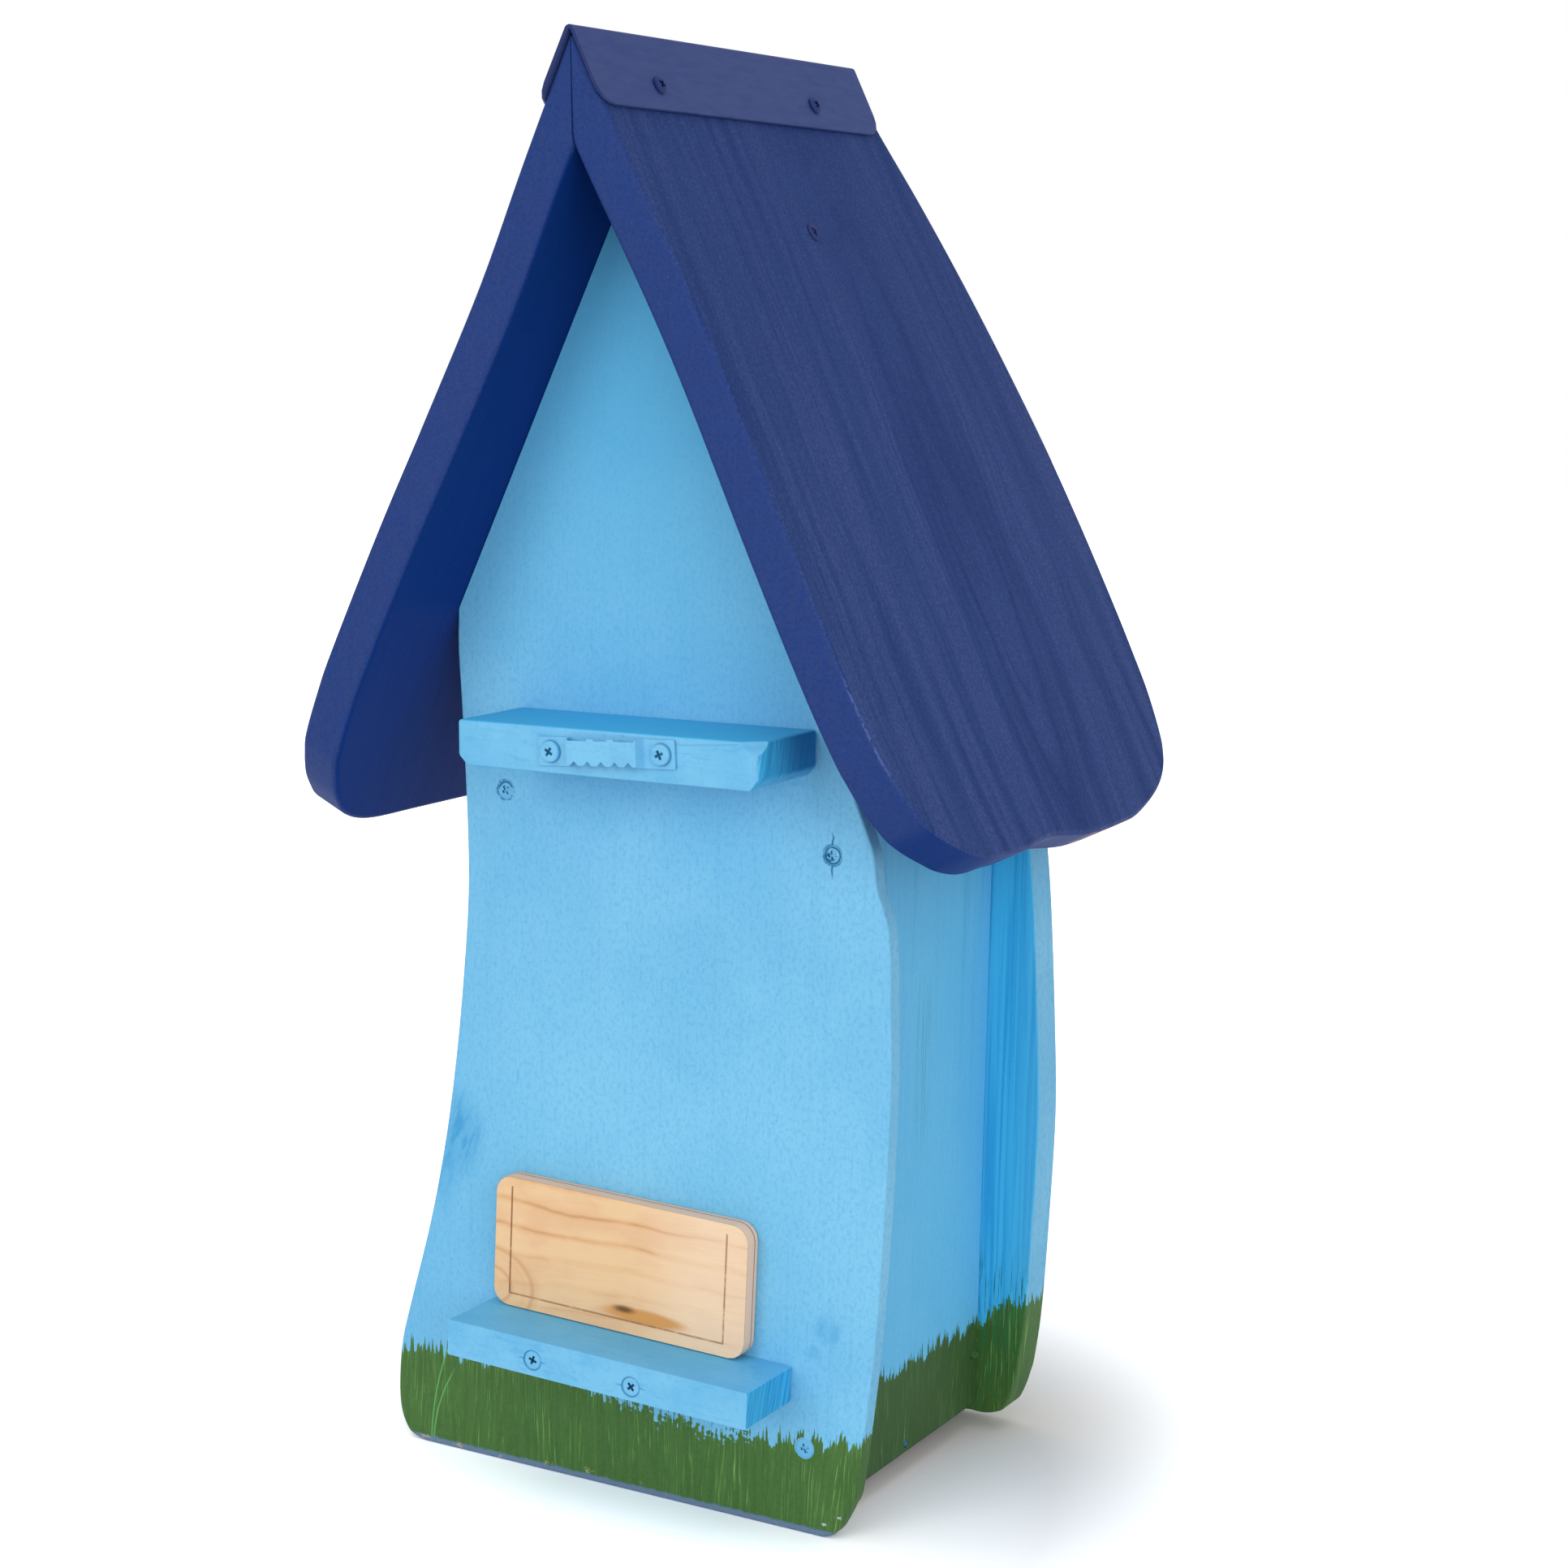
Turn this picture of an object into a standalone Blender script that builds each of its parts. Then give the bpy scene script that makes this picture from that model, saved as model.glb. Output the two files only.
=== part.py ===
# A painted bird nest box with a steep pitched roof, as an assembly of separate pieces.
#
# Metres, +Z up. The box stands on Z = 0 on its two end panels. Its front, with the entrance
# hole, faces -Y, and the side that hangs on a wall faces +Y. Left and right are those of
# someone who faces the front, so left is -X.
#
# Inside the script the rear face of the back panel is the plane Y = 0 and the middle of the
# panels' base is X = 0. One parent empty then moves everything, so that the middle of the
# whole box lies over the origin.

import bpy
import bmesh
from math import cos, pi, radians, sin, sqrt, tan
from mathutils import Vector

# Fits
touch_gap = 0.0003              # between two pieces that touch
hole_clearance = 0.0003         # all round a screw, nail or pin in its hole
cut_overrun = 0.004             # how far a cutter runs past what it cuts

# End panels
back_thickness = 0.008
front_thickness = 0.018
inside_depth = 0.126            # between the two panels
panel_reach = 0.114             # middle of the base to the widest point of a side
panel_arris = 0.001

# Roof
ridge_under_height = 0.5211     # ground to the ridge line of the roof's underside
ridge_offset = 0.0044           # the ridge lies this far to the right of the middle
roof_lean_left = radians(26.8)  # each slope's angle from the vertical
roof_lean_right = radians(24.8)
roof_thickness = 0.018
roof_length_left = 0.332        # down the outer face
roof_length_right = 0.327
roof_back_overhang = 0.0483     # behind the back panel
roof_front_overhang = 0.057     # in front of the front panel
roof_arris = 0.0025
ridge_flat_drop = 0.0025        # the mitred tip is planed off by this much

# Ridge cap, a folded metal strip
cap_thickness = 0.0015
cap_length = 0.215
cap_back_overhang = 0.047
cap_flap = 0.030                # from the fold down each slope
cap_fold_radius = 0.0006
cap_corner_radius = 0.009

# Ridge beam, under the ridge between the panels
beam_drop = 0.016               # underside of the ridge to the top of the beam
beam_height = 0.043
beam_width = 0.044
beam_arris = 0.0006

# Side walls
wall_thickness = 0.018
wall_lift = 0.0112              # ground to the bottom of the walls
wall_left_inside = 0.0687       # middle of the base to the inner face
wall_right_inside = 0.0537
wall_arris = 0.0006

# Tilting floor and its pins
floor_thickness = 0.008
floor_side_gap = 0.0006
floor_end_gap = 0.0005
floor_arris = 0.0006
pivot_from_back = 0.0682        # rear face of the back panel to the pin line
pin_radius = 0.0015
pin_length = 0.040
pin_round = 0.0004

# Entrance hole
entrance_radius = 0.016
entrance_drop = 0.118           # top of the sides to the middle of the hole

# Hanging batten
batten_length = 0.131
batten_height = 0.0176
batten_depth = 0.043
batten_offset = 0.0105          # its middle lies this far to the left
batten_drop = 0.0575            # top of the sides to its middle
batten_tilt = radians(1.1)
batten_corner = 0.004           # knocked-off lower corners
batten_end_radius = 0.006       # rounded upright edge at its left end
batten_arris = 0.0008

# Wall ledge, the lower spacer, and the name plate that stands on it
ledge_length = 0.1358
ledge_height = 0.0145
ledge_depth = 0.0345
ledge_offset = 0.0029           # its middle lies this far to the left
ledge_middle_height = 0.0605
ledge_tilt = radians(1.5)
ledge_arris = 0.0008
plate_width = 0.1156
plate_height = 0.0535
plate_thickness = 0.0081
plate_offset = 0.0067           # to the right of the ledge's middle
plate_corner_radius = 0.007
plate_arris = 0.0004

# Sawtooth hanger
hanger_length = 0.0591
hanger_height = 0.0109
hanger_thickness = 0.0009
hanger_bridge = 0.032           # raised middle, with its ramps
hanger_bridge_rise = 0.0038
hanger_ramp = 0.0015
hanger_bridge_trim = 0.0008     # the raised middle is narrower by this much at each edge
hanger_teeth = 5
hanger_tooth_pitch = 0.0059
hanger_tooth_width = 0.0036
hanger_tooth_depth = 0.0018
hanger_tab_width = 0.0029       # two tabs on its upper edge keep the full height
hanger_tab_spacing = 0.0087
hanger_end_radius = 0.0005
hanger_tilt = radians(3.75)
hanger_offset = 0.0118          # its middle lies this far to the left
hanger_lift = 0.0009            # above the batten's middle

# Screws
screw_radius = 0.002
screw_head_radius = 0.0038
screw_head_edge = 0.0003
screw_tip = 0.006
pan_tip_radii = 3               # a small screw's tip is this many shank radii long
tip_share = 0.2                 # a tip's end as a share of its shank
pan_head_radius = 0.0035
pan_head_height = 0.0017
small_screw_radius = 0.0014
small_head_radius = 0.004
small_head_height = 0.0016
recess_depth = 0.0013
recess_reach = 0.0019
recess_width = 0.001
back_screw_bite = 0.027         # into the side walls
roof_screw_bite = 0.017         # into the ridge beam
roof_screw_down = 0.076         # from the outer tip of the roof down its slope
roof_screw_proud = 0.0008       # its head stands out of the board by this much
cap_screw_bite = 0.0085         # into the roof boards
cap_screw_down = 0.0203
batten_screw_bite = 0.022       # into the batten
ledge_screw_bite = 0.0055       # into the back panel
hanger_screw_bite = 0.014       # into the batten

# Toe nails that hold the front panel to the side walls
nail_radius = 0.001
nail_head_radius = 0.0017
nail_head_thickness = 0.0006
nail_tip = 0.003
nail_setback = 0.003            # from the front panel to where the nail enters the wall
nail_angle = radians(30)
nail_bite = 0.014               # into the front panel

# Places that follow the sizes of the piece that carries them
side_top_share = 0.938          # where the left side meets the roof, up side_height
left_back_side_shares = [       # (height / side_height, reach / panel_reach)
    (0.000, 0.754), (0.006, 0.794), (0.018, 0.821), (0.038, 0.851), (0.060, 0.876), (0.148, 0.908),
    (0.241, 0.935), (0.383, 0.957), (0.504, 0.965), (0.572, 0.959), (0.657, 0.947), (0.686, 0.924),
    (0.710, 0.896), (0.743, 0.882), (0.764, 0.858), (0.803, 0.807), (0.844, 0.776), (0.894, 0.768),
    (0.944, 0.774)]
left_front_side_shares = [
    (0.000, 0.395), (0.004, 0.526), (0.014, 0.632), (0.020, 0.719), (0.020, 0.774), (0.021, 0.807),
    (0.024, 0.839), (0.030, 0.870), (0.048, 0.896), (0.064, 0.911), (0.083, 0.925), (0.144, 0.947),
    (0.253, 0.964), (0.381, 0.975), (0.486, 0.960), (0.617, 0.931), (0.692, 0.906),
    (0.743, 0.882), (0.803, 0.807), (0.844, 0.776), (0.894, 0.768), (0.944, 0.774)]
right_side_shares = [
    (0.000, 0.877), (0.003, 0.921), (0.010, 0.960), (0.032, 0.992), (0.066, 1.000), (0.115, 0.987),
    (0.166, 0.947), (0.267, 0.861), (0.364, 0.798), (0.461, 0.754), (0.555, 0.724), (0.648, 0.705),
    (0.738, 0.711), (0.851, 0.733), (0.917, 0.749), (0.958, 0.749)]
left_roof_rear_shares = [       # (down / roof length, across / roof depth), across from the rear
    (0.000, 0.009), (0.130, 0.017), (0.226, 0.028), (0.319, 0.037), (0.419, 0.038), (0.605, 0.028),
    (0.747, 0.026), (0.831, 0.033), (0.861, 0.041), (0.894, 0.055), (0.914, 0.070), (0.933, 0.087),
    (0.951, 0.117), (0.966, 0.151), (0.980, 0.187), (0.990, 0.241), (0.991, 0.304), (0.992, 0.363),
    (0.988, 0.456)]
right_roof_rear_shares = [
    (0.000, 0.009), (0.156, 0.014), (0.303, 0.023), (0.456, 0.015), (0.612, 0.003), (0.774, 0.000),
    (0.829, 0.004), (0.887, 0.015), (0.914, 0.029), (0.945, 0.052), (0.966, 0.077), (0.982, 0.102),
    (0.994, 0.141), (1.000, 0.195), (1.000, 0.304), (1.000, 0.456)]
roof_front_shares = [           # from the eaves round the front corner and up to the ridge
    (1.000, 0.588), (1.000, 0.720), (0.996, 0.778), (0.979, 0.868), (0.958, 0.925), (0.934, 0.956),
    (0.908, 0.973), (0.855, 0.991), (0.798, 0.997), (0.738, 1.000), (0.630, 0.999), (0.518, 0.989),
    (0.404, 0.967), (0.291, 0.937), (0.179, 0.897), (0.078, 0.852), (0.000, 0.831)]
left_back_screw_shares = [(0.82, 0.739), (0.47, 0.095)]     # (across the wall, up side_height)
right_back_screw_shares = [(0.48, 0.768), (0.50, 0.165)]
left_roof_screw_share = 0.531   # along the inside depth, from the back
right_roof_screw_share = 0.38
cap_screw_shares = (0.205, 0.758)                           # along the cap, from the back
batten_screw_shares = (-0.34, 0.34)                         # along the batten, from its middle
ledge_screw_shares = [(0.206, -0.07), (-0.125, -0.12)]      # (along, up) from the ledge's middle
hanger_screw_share = 0.405      # along the hanger, from its middle, each way
nail_shares = (0.093, 0.80)     # up side_height
pan_head_shares = [(0.55, 0.93), (0.88, 0.62), (1.00, 0.20)]    # (across, up) of a domed head

# Fineness of round shapes
screw_sides = 14
hole_sides = 16
entrance_sides = 40
outline_steps = 2               # points that a smooth outline adds after each named point
corner_steps = 4


def linear(red, green, blue):
    """A colour as it looks on a screen, 0 to 255, as Blender's linear values."""
    values = []
    for channel in (red, green, blue):
        share = channel / 255
        values.append(share / 12.92 if share <= 0.04045 else ((share + 0.055) / 1.055) ** 2.4)
    return (*values, 1.0)


def material(name, colour, roughness, metallic=0.0):
    made = bpy.data.materials.new(name)
    made.use_nodes = True
    shader = made.node_tree.nodes["Principled BSDF"]
    shader.inputs["Base Color"].default_value = linear(*colour)
    shader.inputs["Roughness"].default_value = roughness
    shader.inputs["Metallic"].default_value = metallic
    return made


def smooth(points):
    """A Catmull-Rom curve through the points, with outline_steps points after each of them."""
    padded = [points[0]] + list(points) + [points[-1]]
    curve = []
    for before, here, there, after in zip(padded, padded[1:], padded[2:], padded[3:]):
        for step in range(outline_steps):
            t = step / outline_steps
            curve.append(tuple(
                0.5 * (2 * b + (c - a) * t + (2 * a - 5 * b + 4 * c - d) * t ** 2
                       + (3 * b - a - 3 * c + d) * t ** 3)
                for a, b, c, d in zip(before, here, there, after)))
    return curve + [tuple(points[-1])]


def clipped(outline, edge_point, outward):
    """What is left of a closed outline behind a straight line."""
    def beyond(point):
        return (point[0] - edge_point[0]) * outward[0] + (point[1] - edge_point[1]) * outward[1]

    kept = []
    for here, there in zip(outline, outline[1:] + outline[:1]):
        past, next_past = beyond(here), beyond(there)
        if past <= 0:
            kept.append(here)
        if past * next_past < 0:
            share = past / (past - next_past)
            kept.append(tuple(a + (b - a) * share for a, b in zip(here, there)))
    return kept


def under_roof(outline):
    """An outline in X and Z, cut back to fit under both roof boards."""
    for side, lean in ((-1, roof_lean_left), (1, roof_lean_right)):
        outward = (side * cos(lean), sin(lean))
        edge = (ridge_offset - outward[0] * touch_gap, ridge_under_height - outward[1] * touch_gap)
        outline = clipped(outline, edge, outward)
    return outline


def rounded_rectangle(width, height, radius):
    """A rectangle about the middle, with quarter-round corners."""
    points = []
    for corner, (across, up) in enumerate(((1, 1), (-1, 1), (-1, -1), (1, -1))):
        for step in range(corner_steps + 1):
            angle = (corner + step / corner_steps) * pi / 2
            points.append((across * (width / 2 - radius) + radius * cos(angle),
                           up * (height / 2 - radius) + radius * sin(angle)))
    return points


def put(name, bm, look, parent, place=(0, 0, 0), turn=(0, 0, 0)):
    """Makes the object of a finished bmesh, at its place under its parent."""
    bmesh.ops.recalc_face_normals(bm, faces=bm.faces)
    mesh = bpy.data.meshes.new(name)
    bm.to_mesh(mesh)
    bm.free()
    return place_mesh(name, mesh, look, parent, place, turn)


def place_mesh(name, mesh, look, parent, place, turn):
    if look and not mesh.materials:
        mesh.materials.append(look)
    made = bpy.data.objects.new(name, mesh)
    bpy.context.scene.collection.objects.link(made)
    made.parent = parent
    made.location = place
    made.rotation_euler = turn
    return made


def frame(name, parent, place=(0, 0, 0), turn=(0, 0, 0)):
    """An empty that carries pieces which share a tilt."""
    made = bpy.data.objects.new(name, None)
    bpy.context.scene.collection.objects.link(made)
    made.parent = parent
    made.location = place
    made.rotation_euler = turn
    return made


def extruded(outline, along):
    """A closed outline of 3-D points, swept straight along a vector."""
    bm = bmesh.new()
    face = bm.faces.new([bm.verts.new(point) for point in outline])
    swept = bmesh.ops.extrude_face_region(bm, geom=[face])
    moved = [item for item in swept["geom"] if isinstance(item, bmesh.types.BMVert)]
    bmesh.ops.translate(bm, verts=moved, vec=along)
    return bm


def upright(outline, thickness):
    """An outline in X and Z as a board whose rear face is Y = 0."""
    return extruded([(x, 0, z) for x, z in outline], (0, -thickness, 0))


def sliced(bm, point, outward):
    """Takes off what lies in front of a plane and closes the cut."""
    geometry = bm.verts[:] + bm.edges[:] + bm.faces[:]
    cut = bmesh.ops.bisect_plane(bm, geom=geometry, plane_co=point, plane_no=outward, clear_outer=True)
    rim = [item for item in cut["geom_cut"] if isinstance(item, bmesh.types.BMEdge)]
    bmesh.ops.contextual_create(bm, geom=rim)


def turned(profile, sides):
    """A solid turned about Z, from (radius, height) points that start and end on the axis."""
    bm = bmesh.new()
    top = bm.verts.new((0, 0, profile[0][1]))
    bottom = bm.verts.new((0, 0, profile[-1][1]))
    rings = []
    for radius, height in profile[1:-1]:
        around = [2 * pi * k / sides for k in range(sides)]
        rings.append([bm.verts.new((radius * cos(angle), radius * sin(angle), height)) for angle in around])
    for k in range(sides):
        after = (k + 1) % sides
        bm.faces.new((top, rings[0][k], rings[0][after]))
        bm.faces.new((bottom, rings[-1][after], rings[-1][k]))
        for upper, lower in zip(rings, rings[1:]):
            bm.faces.new((upper[k], lower[k], lower[after], upper[after]))
    return bm


def bevel(piece, width, segments=1):
    rounding = piece.modifiers.new("Arris", "BEVEL")
    rounding.width = width
    rounding.segments = segments
    rounding.limit_method = "ANGLE"
    rounding.angle_limit = radians(35)
    return piece


def cut(piece, cutter):
    """Cuts a hidden shape out of a piece."""
    hole = piece.modifiers.new(cutter.name, "BOOLEAN")
    hole.operation = "DIFFERENCE"
    hole.solver = "EXACT"
    hole.object = cutter
    cutter.hide_render = True
    cutter.display_type = "WIRE"


def round_shaded(mesh):
    mesh.shade_smooth()
    mesh.set_sharp_from_angle(angle=radians(40))


def recess_cutter():
    """The cross of a screwdriver's recess, narrower at its foot."""
    reach, half = recess_reach, recess_width / 2
    cross = [(reach, -half), (reach, half), (half, half), (half, reach), (-half, reach), (-half, half),
             (-reach, half), (-reach, -half), (-half, -half), (-half, -reach), (half, -reach), (half, -half)]
    bm = bmesh.new()
    foot = [bm.verts.new((x / 2, y / 2, -recess_depth)) for x, y in cross]
    head = [bm.verts.new((x, y, cut_overrun)) for x, y in cross]
    bm.faces.new(foot)
    bm.faces.new(head)
    for k in range(len(cross)):
        after = (k + 1) % len(cross)
        bm.faces.new((foot[k], foot[after], head[after], head[k]))
    return bm


def with_recess(name, bm, head_top):
    """A screw's mesh with the recess cut into its head, made once for all screws of its kind."""
    blank = put(name, bm, None, None)
    cross = put("recess", recess_cutter(), None, None, (0, 0, head_top))
    cut(blank, cross)
    bpy.context.view_layer.update()
    finished = bpy.data.meshes.new_from_object(blank.evaluated_get(bpy.context.evaluated_depsgraph_get()))
    finished.name = name
    bpy.data.objects.remove(blank)
    bpy.data.objects.remove(cross)
    round_shaded(finished)
    return finished


def countersunk_profile(length, spare=0.0, above=0.0):
    """Its head is flush with Z = 0. A hole has spare room all round and runs on above the face."""
    head = screw_head_radius + spare
    shank = screw_radius + spare
    cone = screw_head_edge + screw_head_radius - screw_radius
    return [(0, above), (head, above), (head, -screw_head_edge), (shank, -cone),
            (shank, screw_tip - length), (shank * tip_share, -length - spare), (0, -length - spare)]


def pan_head_profile(radius, head_radius, head_height, length):
    """Its head stands on Z = 0."""
    dome = [(across * head_radius, up * head_height) for across, up in pan_head_shares]
    return [(0, head_height)] + dome + [
        (head_radius, 0), (radius, 0), (radius, radius * pan_tip_radii - length),
        (radius * tip_share, -length), (0, -length)]


def shank_profile(radius, length):
    return [(0, cut_overrun), (radius + hole_clearance, cut_overrun),
            (radius + hole_clearance, -length - hole_clearance), (0, -length - hole_clearance)]


def nail_profile(length, spare=0.0, above=0.0):
    """The underside of its head lies on Z = 0."""
    top = nail_head_thickness + above
    return [(0, top), (nail_head_radius + spare, top), (nail_head_radius + spare, -spare),
            (nail_radius + spare, -spare), (nail_radius + spare, nail_tip - length),
            (nail_radius * tip_share, -length - spare), (0, -length - spare)]


def facing(direction):
    """The turn that points a fastener's head along a direction."""
    return Vector(direction).to_track_quat("Z", "Y").to_euler()


def fasten(name, mesh, hole_profile, look, parent, place, turn, through):
    """Places one fastener and cuts its hole through the pieces that it joins."""
    fastener = place_mesh(name, mesh, look, parent, place, turn)
    hole = put(name + "_hole", turned(hole_profile, hole_sides), None, parent, place, turn)
    for piece in through:
        cut(piece, hole)
    return fastener


def screw_kind(name, length, look):
    """Mesh and hole of one length of countersunk screw."""
    mesh = with_recess(name, turned(countersunk_profile(length), screw_sides), 0)
    mesh.materials.append(look)
    return mesh, countersunk_profile(length, hole_clearance, cut_overrun)


def pan_kind(name, radius, head_radius, head_height, length, look):
    mesh = with_recess(name, turned(pan_head_profile(radius, head_radius, head_height, length), screw_sides),
                       head_height)
    mesh.materials.append(look)
    return mesh, shank_profile(radius, length)


def panel_outline(left_shares, right_shares):
    """An end panel in X and Z: both wavy sides, carried up past the roof and cut back under it."""
    left = smooth([(-reach * panel_reach, up * side_height) for up, reach in left_shares])
    right = smooth([(reach * panel_reach, up * side_height) for up, reach in right_shares])
    above = ridge_under_height
    outline = left + [(left[-1][0], above), (right[-1][0], above)] + right[::-1]
    return under_roof(outline)


def make_panels(root, sky):
    back_outline = panel_outline(left_back_side_shares, right_side_shares)
    back = put("back_panel", upright(back_outline, back_thickness), sky, root)
    front_outline = panel_outline(left_front_side_shares, right_side_shares)
    front = put("front_panel", upright(front_outline, front_thickness), sky, root, (0, front_inside_y, 0))
    deep = -front_thickness - cut_overrun
    bore = [(0, cut_overrun), (entrance_radius, cut_overrun), (entrance_radius, deep), (0, deep)]
    entrance = put("entrance_cutter", turned(bore, entrance_sides), None, root,
                   (cavity_middle_x, front_inside_y, side_height - entrance_drop), facing((0, 1, 0)))
    bevel(back, panel_arris)
    bevel(front, panel_arris)
    cut(front, entrance)
    return back, front


def make_wall(name, side, inside, root, look):
    outline = [(side * inside, wall_lift), (side * (inside + wall_thickness), wall_lift),
               (side * (inside + wall_thickness), ridge_under_height), (side * inside, ridge_under_height)]
    depth = inside_depth - 2 * touch_gap
    wall = put(name, upright(under_roof(outline), depth), look, root, (0, -back_thickness - touch_gap, 0))
    return bevel(wall, wall_arris)


def make_beam(root, look):
    top = ridge_under_height - beam_drop
    half = beam_width / 2
    outline = [(ridge_offset - half, top - beam_height), (ridge_offset + half, top - beam_height),
               (ridge_offset + half, top), (ridge_offset - half, top)]
    depth = inside_depth - 2 * touch_gap
    place = (0, -back_thickness - touch_gap, 0)
    return bevel(put("ridge_beam", upright(under_roof(outline), depth), look, root, place), beam_arris)


def make_floor(root, look):
    """The floor tips about its pins, so each end just clears its panel as its corners swing by."""
    half = floor_thickness / 2
    back_room = pivot_from_back - back_thickness - floor_end_gap
    front_room = back_thickness + inside_depth - pivot_from_back - floor_end_gap
    back_end = sqrt(back_room ** 2 - half ** 2)
    front_end = -sqrt(front_room ** 2 - half ** 2)
    left = floor_side_gap - wall_left_inside
    right = wall_right_inside - floor_side_gap
    corners = [(left, front_end), (right, front_end), (right, back_end), (left, back_end)]
    bm = extruded([(x, y, -half) for x, y in corners], (0, 0, floor_thickness))
    return bevel(put("floor_flap", bm, look, root, (0, -pivot_from_back, pivot_height)), floor_arris)


def make_pins(root, look, left_wall, right_wall, flap):
    end_radius = pin_radius - pin_round
    profile = [(0, 0), (end_radius, 0), (pin_radius, -pin_round), (pin_radius, pin_round - pin_length),
               (end_radius, -pin_length), (0, -pin_length)]
    bm = turned(profile, screw_sides)
    bmesh.ops.recalc_face_normals(bm, faces=bm.faces)
    mesh = bpy.data.meshes.new("pivot_pin")
    bm.to_mesh(mesh)
    bm.free()
    round_shaded(mesh)
    mesh.materials.append(look)
    for name, side, inside, wall in (("pivot_pin_left", -1, wall_left_inside, left_wall),
                                     ("pivot_pin_right", 1, wall_right_inside, right_wall)):
        place = (side * (inside + wall_thickness), -pivot_from_back, pivot_height)
        fasten(name, mesh, shank_profile(pin_radius, pin_length), look, root, place, facing((side, 0, 0)),
               (wall, flap))


def roof_outline(side, length, rear_shares):
    """A roof board in its slope's own plane: X down the slope, Y along the ridge."""
    depth = roof_back_overhang + back_thickness + inside_depth + front_thickness + roof_front_overhang
    points = smooth([(side * (down * length - ridge_setback), roof_back_overhang - across * depth)
                     for down, across in rear_shares + roof_front_shares])
    past = -side * 2 * ridge_setback
    return [(past, points[0][1])] + points + [(past, points[-1][1])]


def make_roof_board(name, side, slope, length, rear_shares, look):
    """The mitre lies on the plane that halves the angle between the slopes."""
    outline = roof_outline(side, length, rear_shares)
    bm = extruded([(x, y, 0) for x, y in outline], (0, 0, roof_thickness))
    bmesh.ops.recalc_face_normals(bm, faces=bm.faces)
    arrises = [edge for edge in bm.edges if edge.calc_face_angle() > radians(35)]
    bmesh.ops.bevel(bm, geom=arrises, offset=roof_arris, segments=2, profile=0.5, affect="EDGES")
    mitre = Vector((side * sin(roof_half_angle), 0, cos(roof_half_angle)))
    upward = Vector((-side * cos(roof_half_angle), 0, sin(roof_half_angle)))
    tip = Vector((-side * ridge_setback, 0, roof_thickness))
    sliced(bm, mitre * touch_gap / 2, -mitre)
    sliced(bm, tip - upward * ridge_flat_drop, upward)
    return put(name, bm, look, slope)


def make_ridge_cap(cap_frame, look):
    """A strip folded over the ridge, drawn as columns that follow the fold and stop short at its corners."""
    flank = Vector((sin(roof_half_angle), 0, -cos(roof_half_angle)))
    lift = Vector((cos(roof_half_angle), 0, sin(roof_half_angle))) * touch_gap
    fold_end = (cap_fold_radius - touch_gap) / tan(roof_half_angle)
    fold_centre = Vector((0, 0, (touch_gap - cap_fold_radius) / sin(roof_half_angle)))
    columns = []
    for step in range(corner_steps + 1):
        angle = step / corner_steps * pi / 2
        inset = cap_corner_radius * (1 - cos(angle))
        columns.append((flank * (cap_flap - inset) + lift, cap_corner_radius * (1 - sin(angle))))
    columns.append((flank * fold_end + lift, 0.0))
    turn = pi / 2 - roof_half_angle
    angles = [turn * k / corner_steps for k in range(corner_steps - 1, -1, -1)]
    arc = [fold_centre + Vector((sin(angle), 0, cos(angle))) * cap_fold_radius for angle in angles]
    columns += [(point, 0.0) for point in arc]
    mirrored = [(Vector((-point.x, 0, point.z)), short) for point, short in columns[-2::-1]]
    bm = bmesh.new()
    strips = []
    for point, short in columns + mirrored:
        strips.append([bm.verts.new((point.x, cap_back_overhang - short, point.z)),
                       bm.verts.new((point.x, cap_back_overhang - cap_length + short, point.z))])
    for (rear, fore), (next_rear, next_fore) in zip(strips, strips[1:]):
        bm.faces.new((rear, fore, next_fore, next_rear))
    cap = put("ridge_cap", bm, look, cap_frame)
    sheet = cap.modifiers.new("Sheet", "SOLIDIFY")
    sheet.thickness = cap_thickness
    sheet.offset = 1
    sheet.use_even_offset = True
    return cap


def make_batten(batten_frame, look):
    """Its lower end corners are knocked off and the upright edge at its left end is rounded."""
    end, half = batten_length / 2, batten_height / 2
    outline = [(-end, batten_corner - half), (batten_corner - end, -half), (end - batten_corner, -half),
               (end, batten_corner - half), (end, half), (-end, half)]
    bm = extruded([(x, touch_gap, z) for x, z in outline], (0, batten_depth - touch_gap, 0))
    edges = [edge for edge in bm.edges
             if all(v.co.x < batten_arris - end and v.co.y > batten_depth - batten_arris for v in edge.verts)]
    bmesh.ops.bevel(bm, geom=edges, offset=batten_end_radius, segments=corner_steps, profile=0.5,
                    affect="EDGES")
    return bevel(put("hanging_batten", bm, look, batten_frame), batten_arris)


def make_ledge(ledge_frame, look):
    bm = extruded([(x, touch_gap, z) for x, z in rounded_rectangle(ledge_length, ledge_height, ledge_arris)],
                  (0, ledge_depth - touch_gap, 0))
    return put("wall_ledge", bm, look, ledge_frame)


def make_plate(ledge_frame, look):
    """The plate stands on the ledge and lies flat against the back panel."""
    outline = rounded_rectangle(plate_width, plate_height, plate_corner_radius)
    bm = extruded([(x, touch_gap, z) for x, z in outline], (0, plate_thickness, 0))
    place = (plate_offset, 0, (ledge_height + plate_height) / 2 + touch_gap)
    return bevel(put("name_plate", bm, look, ledge_frame, place), plate_arris)


def bridge_share(x):
    """0 on the strip's flat ends, 1 on its raised middle and between them on the ramps."""
    return min(1.0, max(0.0, (hanger_bridge / 2 - abs(x)) / hanger_ramp))


def hanger_notch(x):
    """How far a tooth cuts up into the strip's lower edge at a place along it."""
    depth = 0.0
    for tooth in range(hanger_teeth):
        middle = (tooth - (hanger_teeth - 1) / 2) * hanger_tooth_pitch
        share = 1 - abs(x - middle) / (hanger_tooth_width / 2)
        depth = max(depth, share * hanger_tooth_depth)
    return depth


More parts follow.
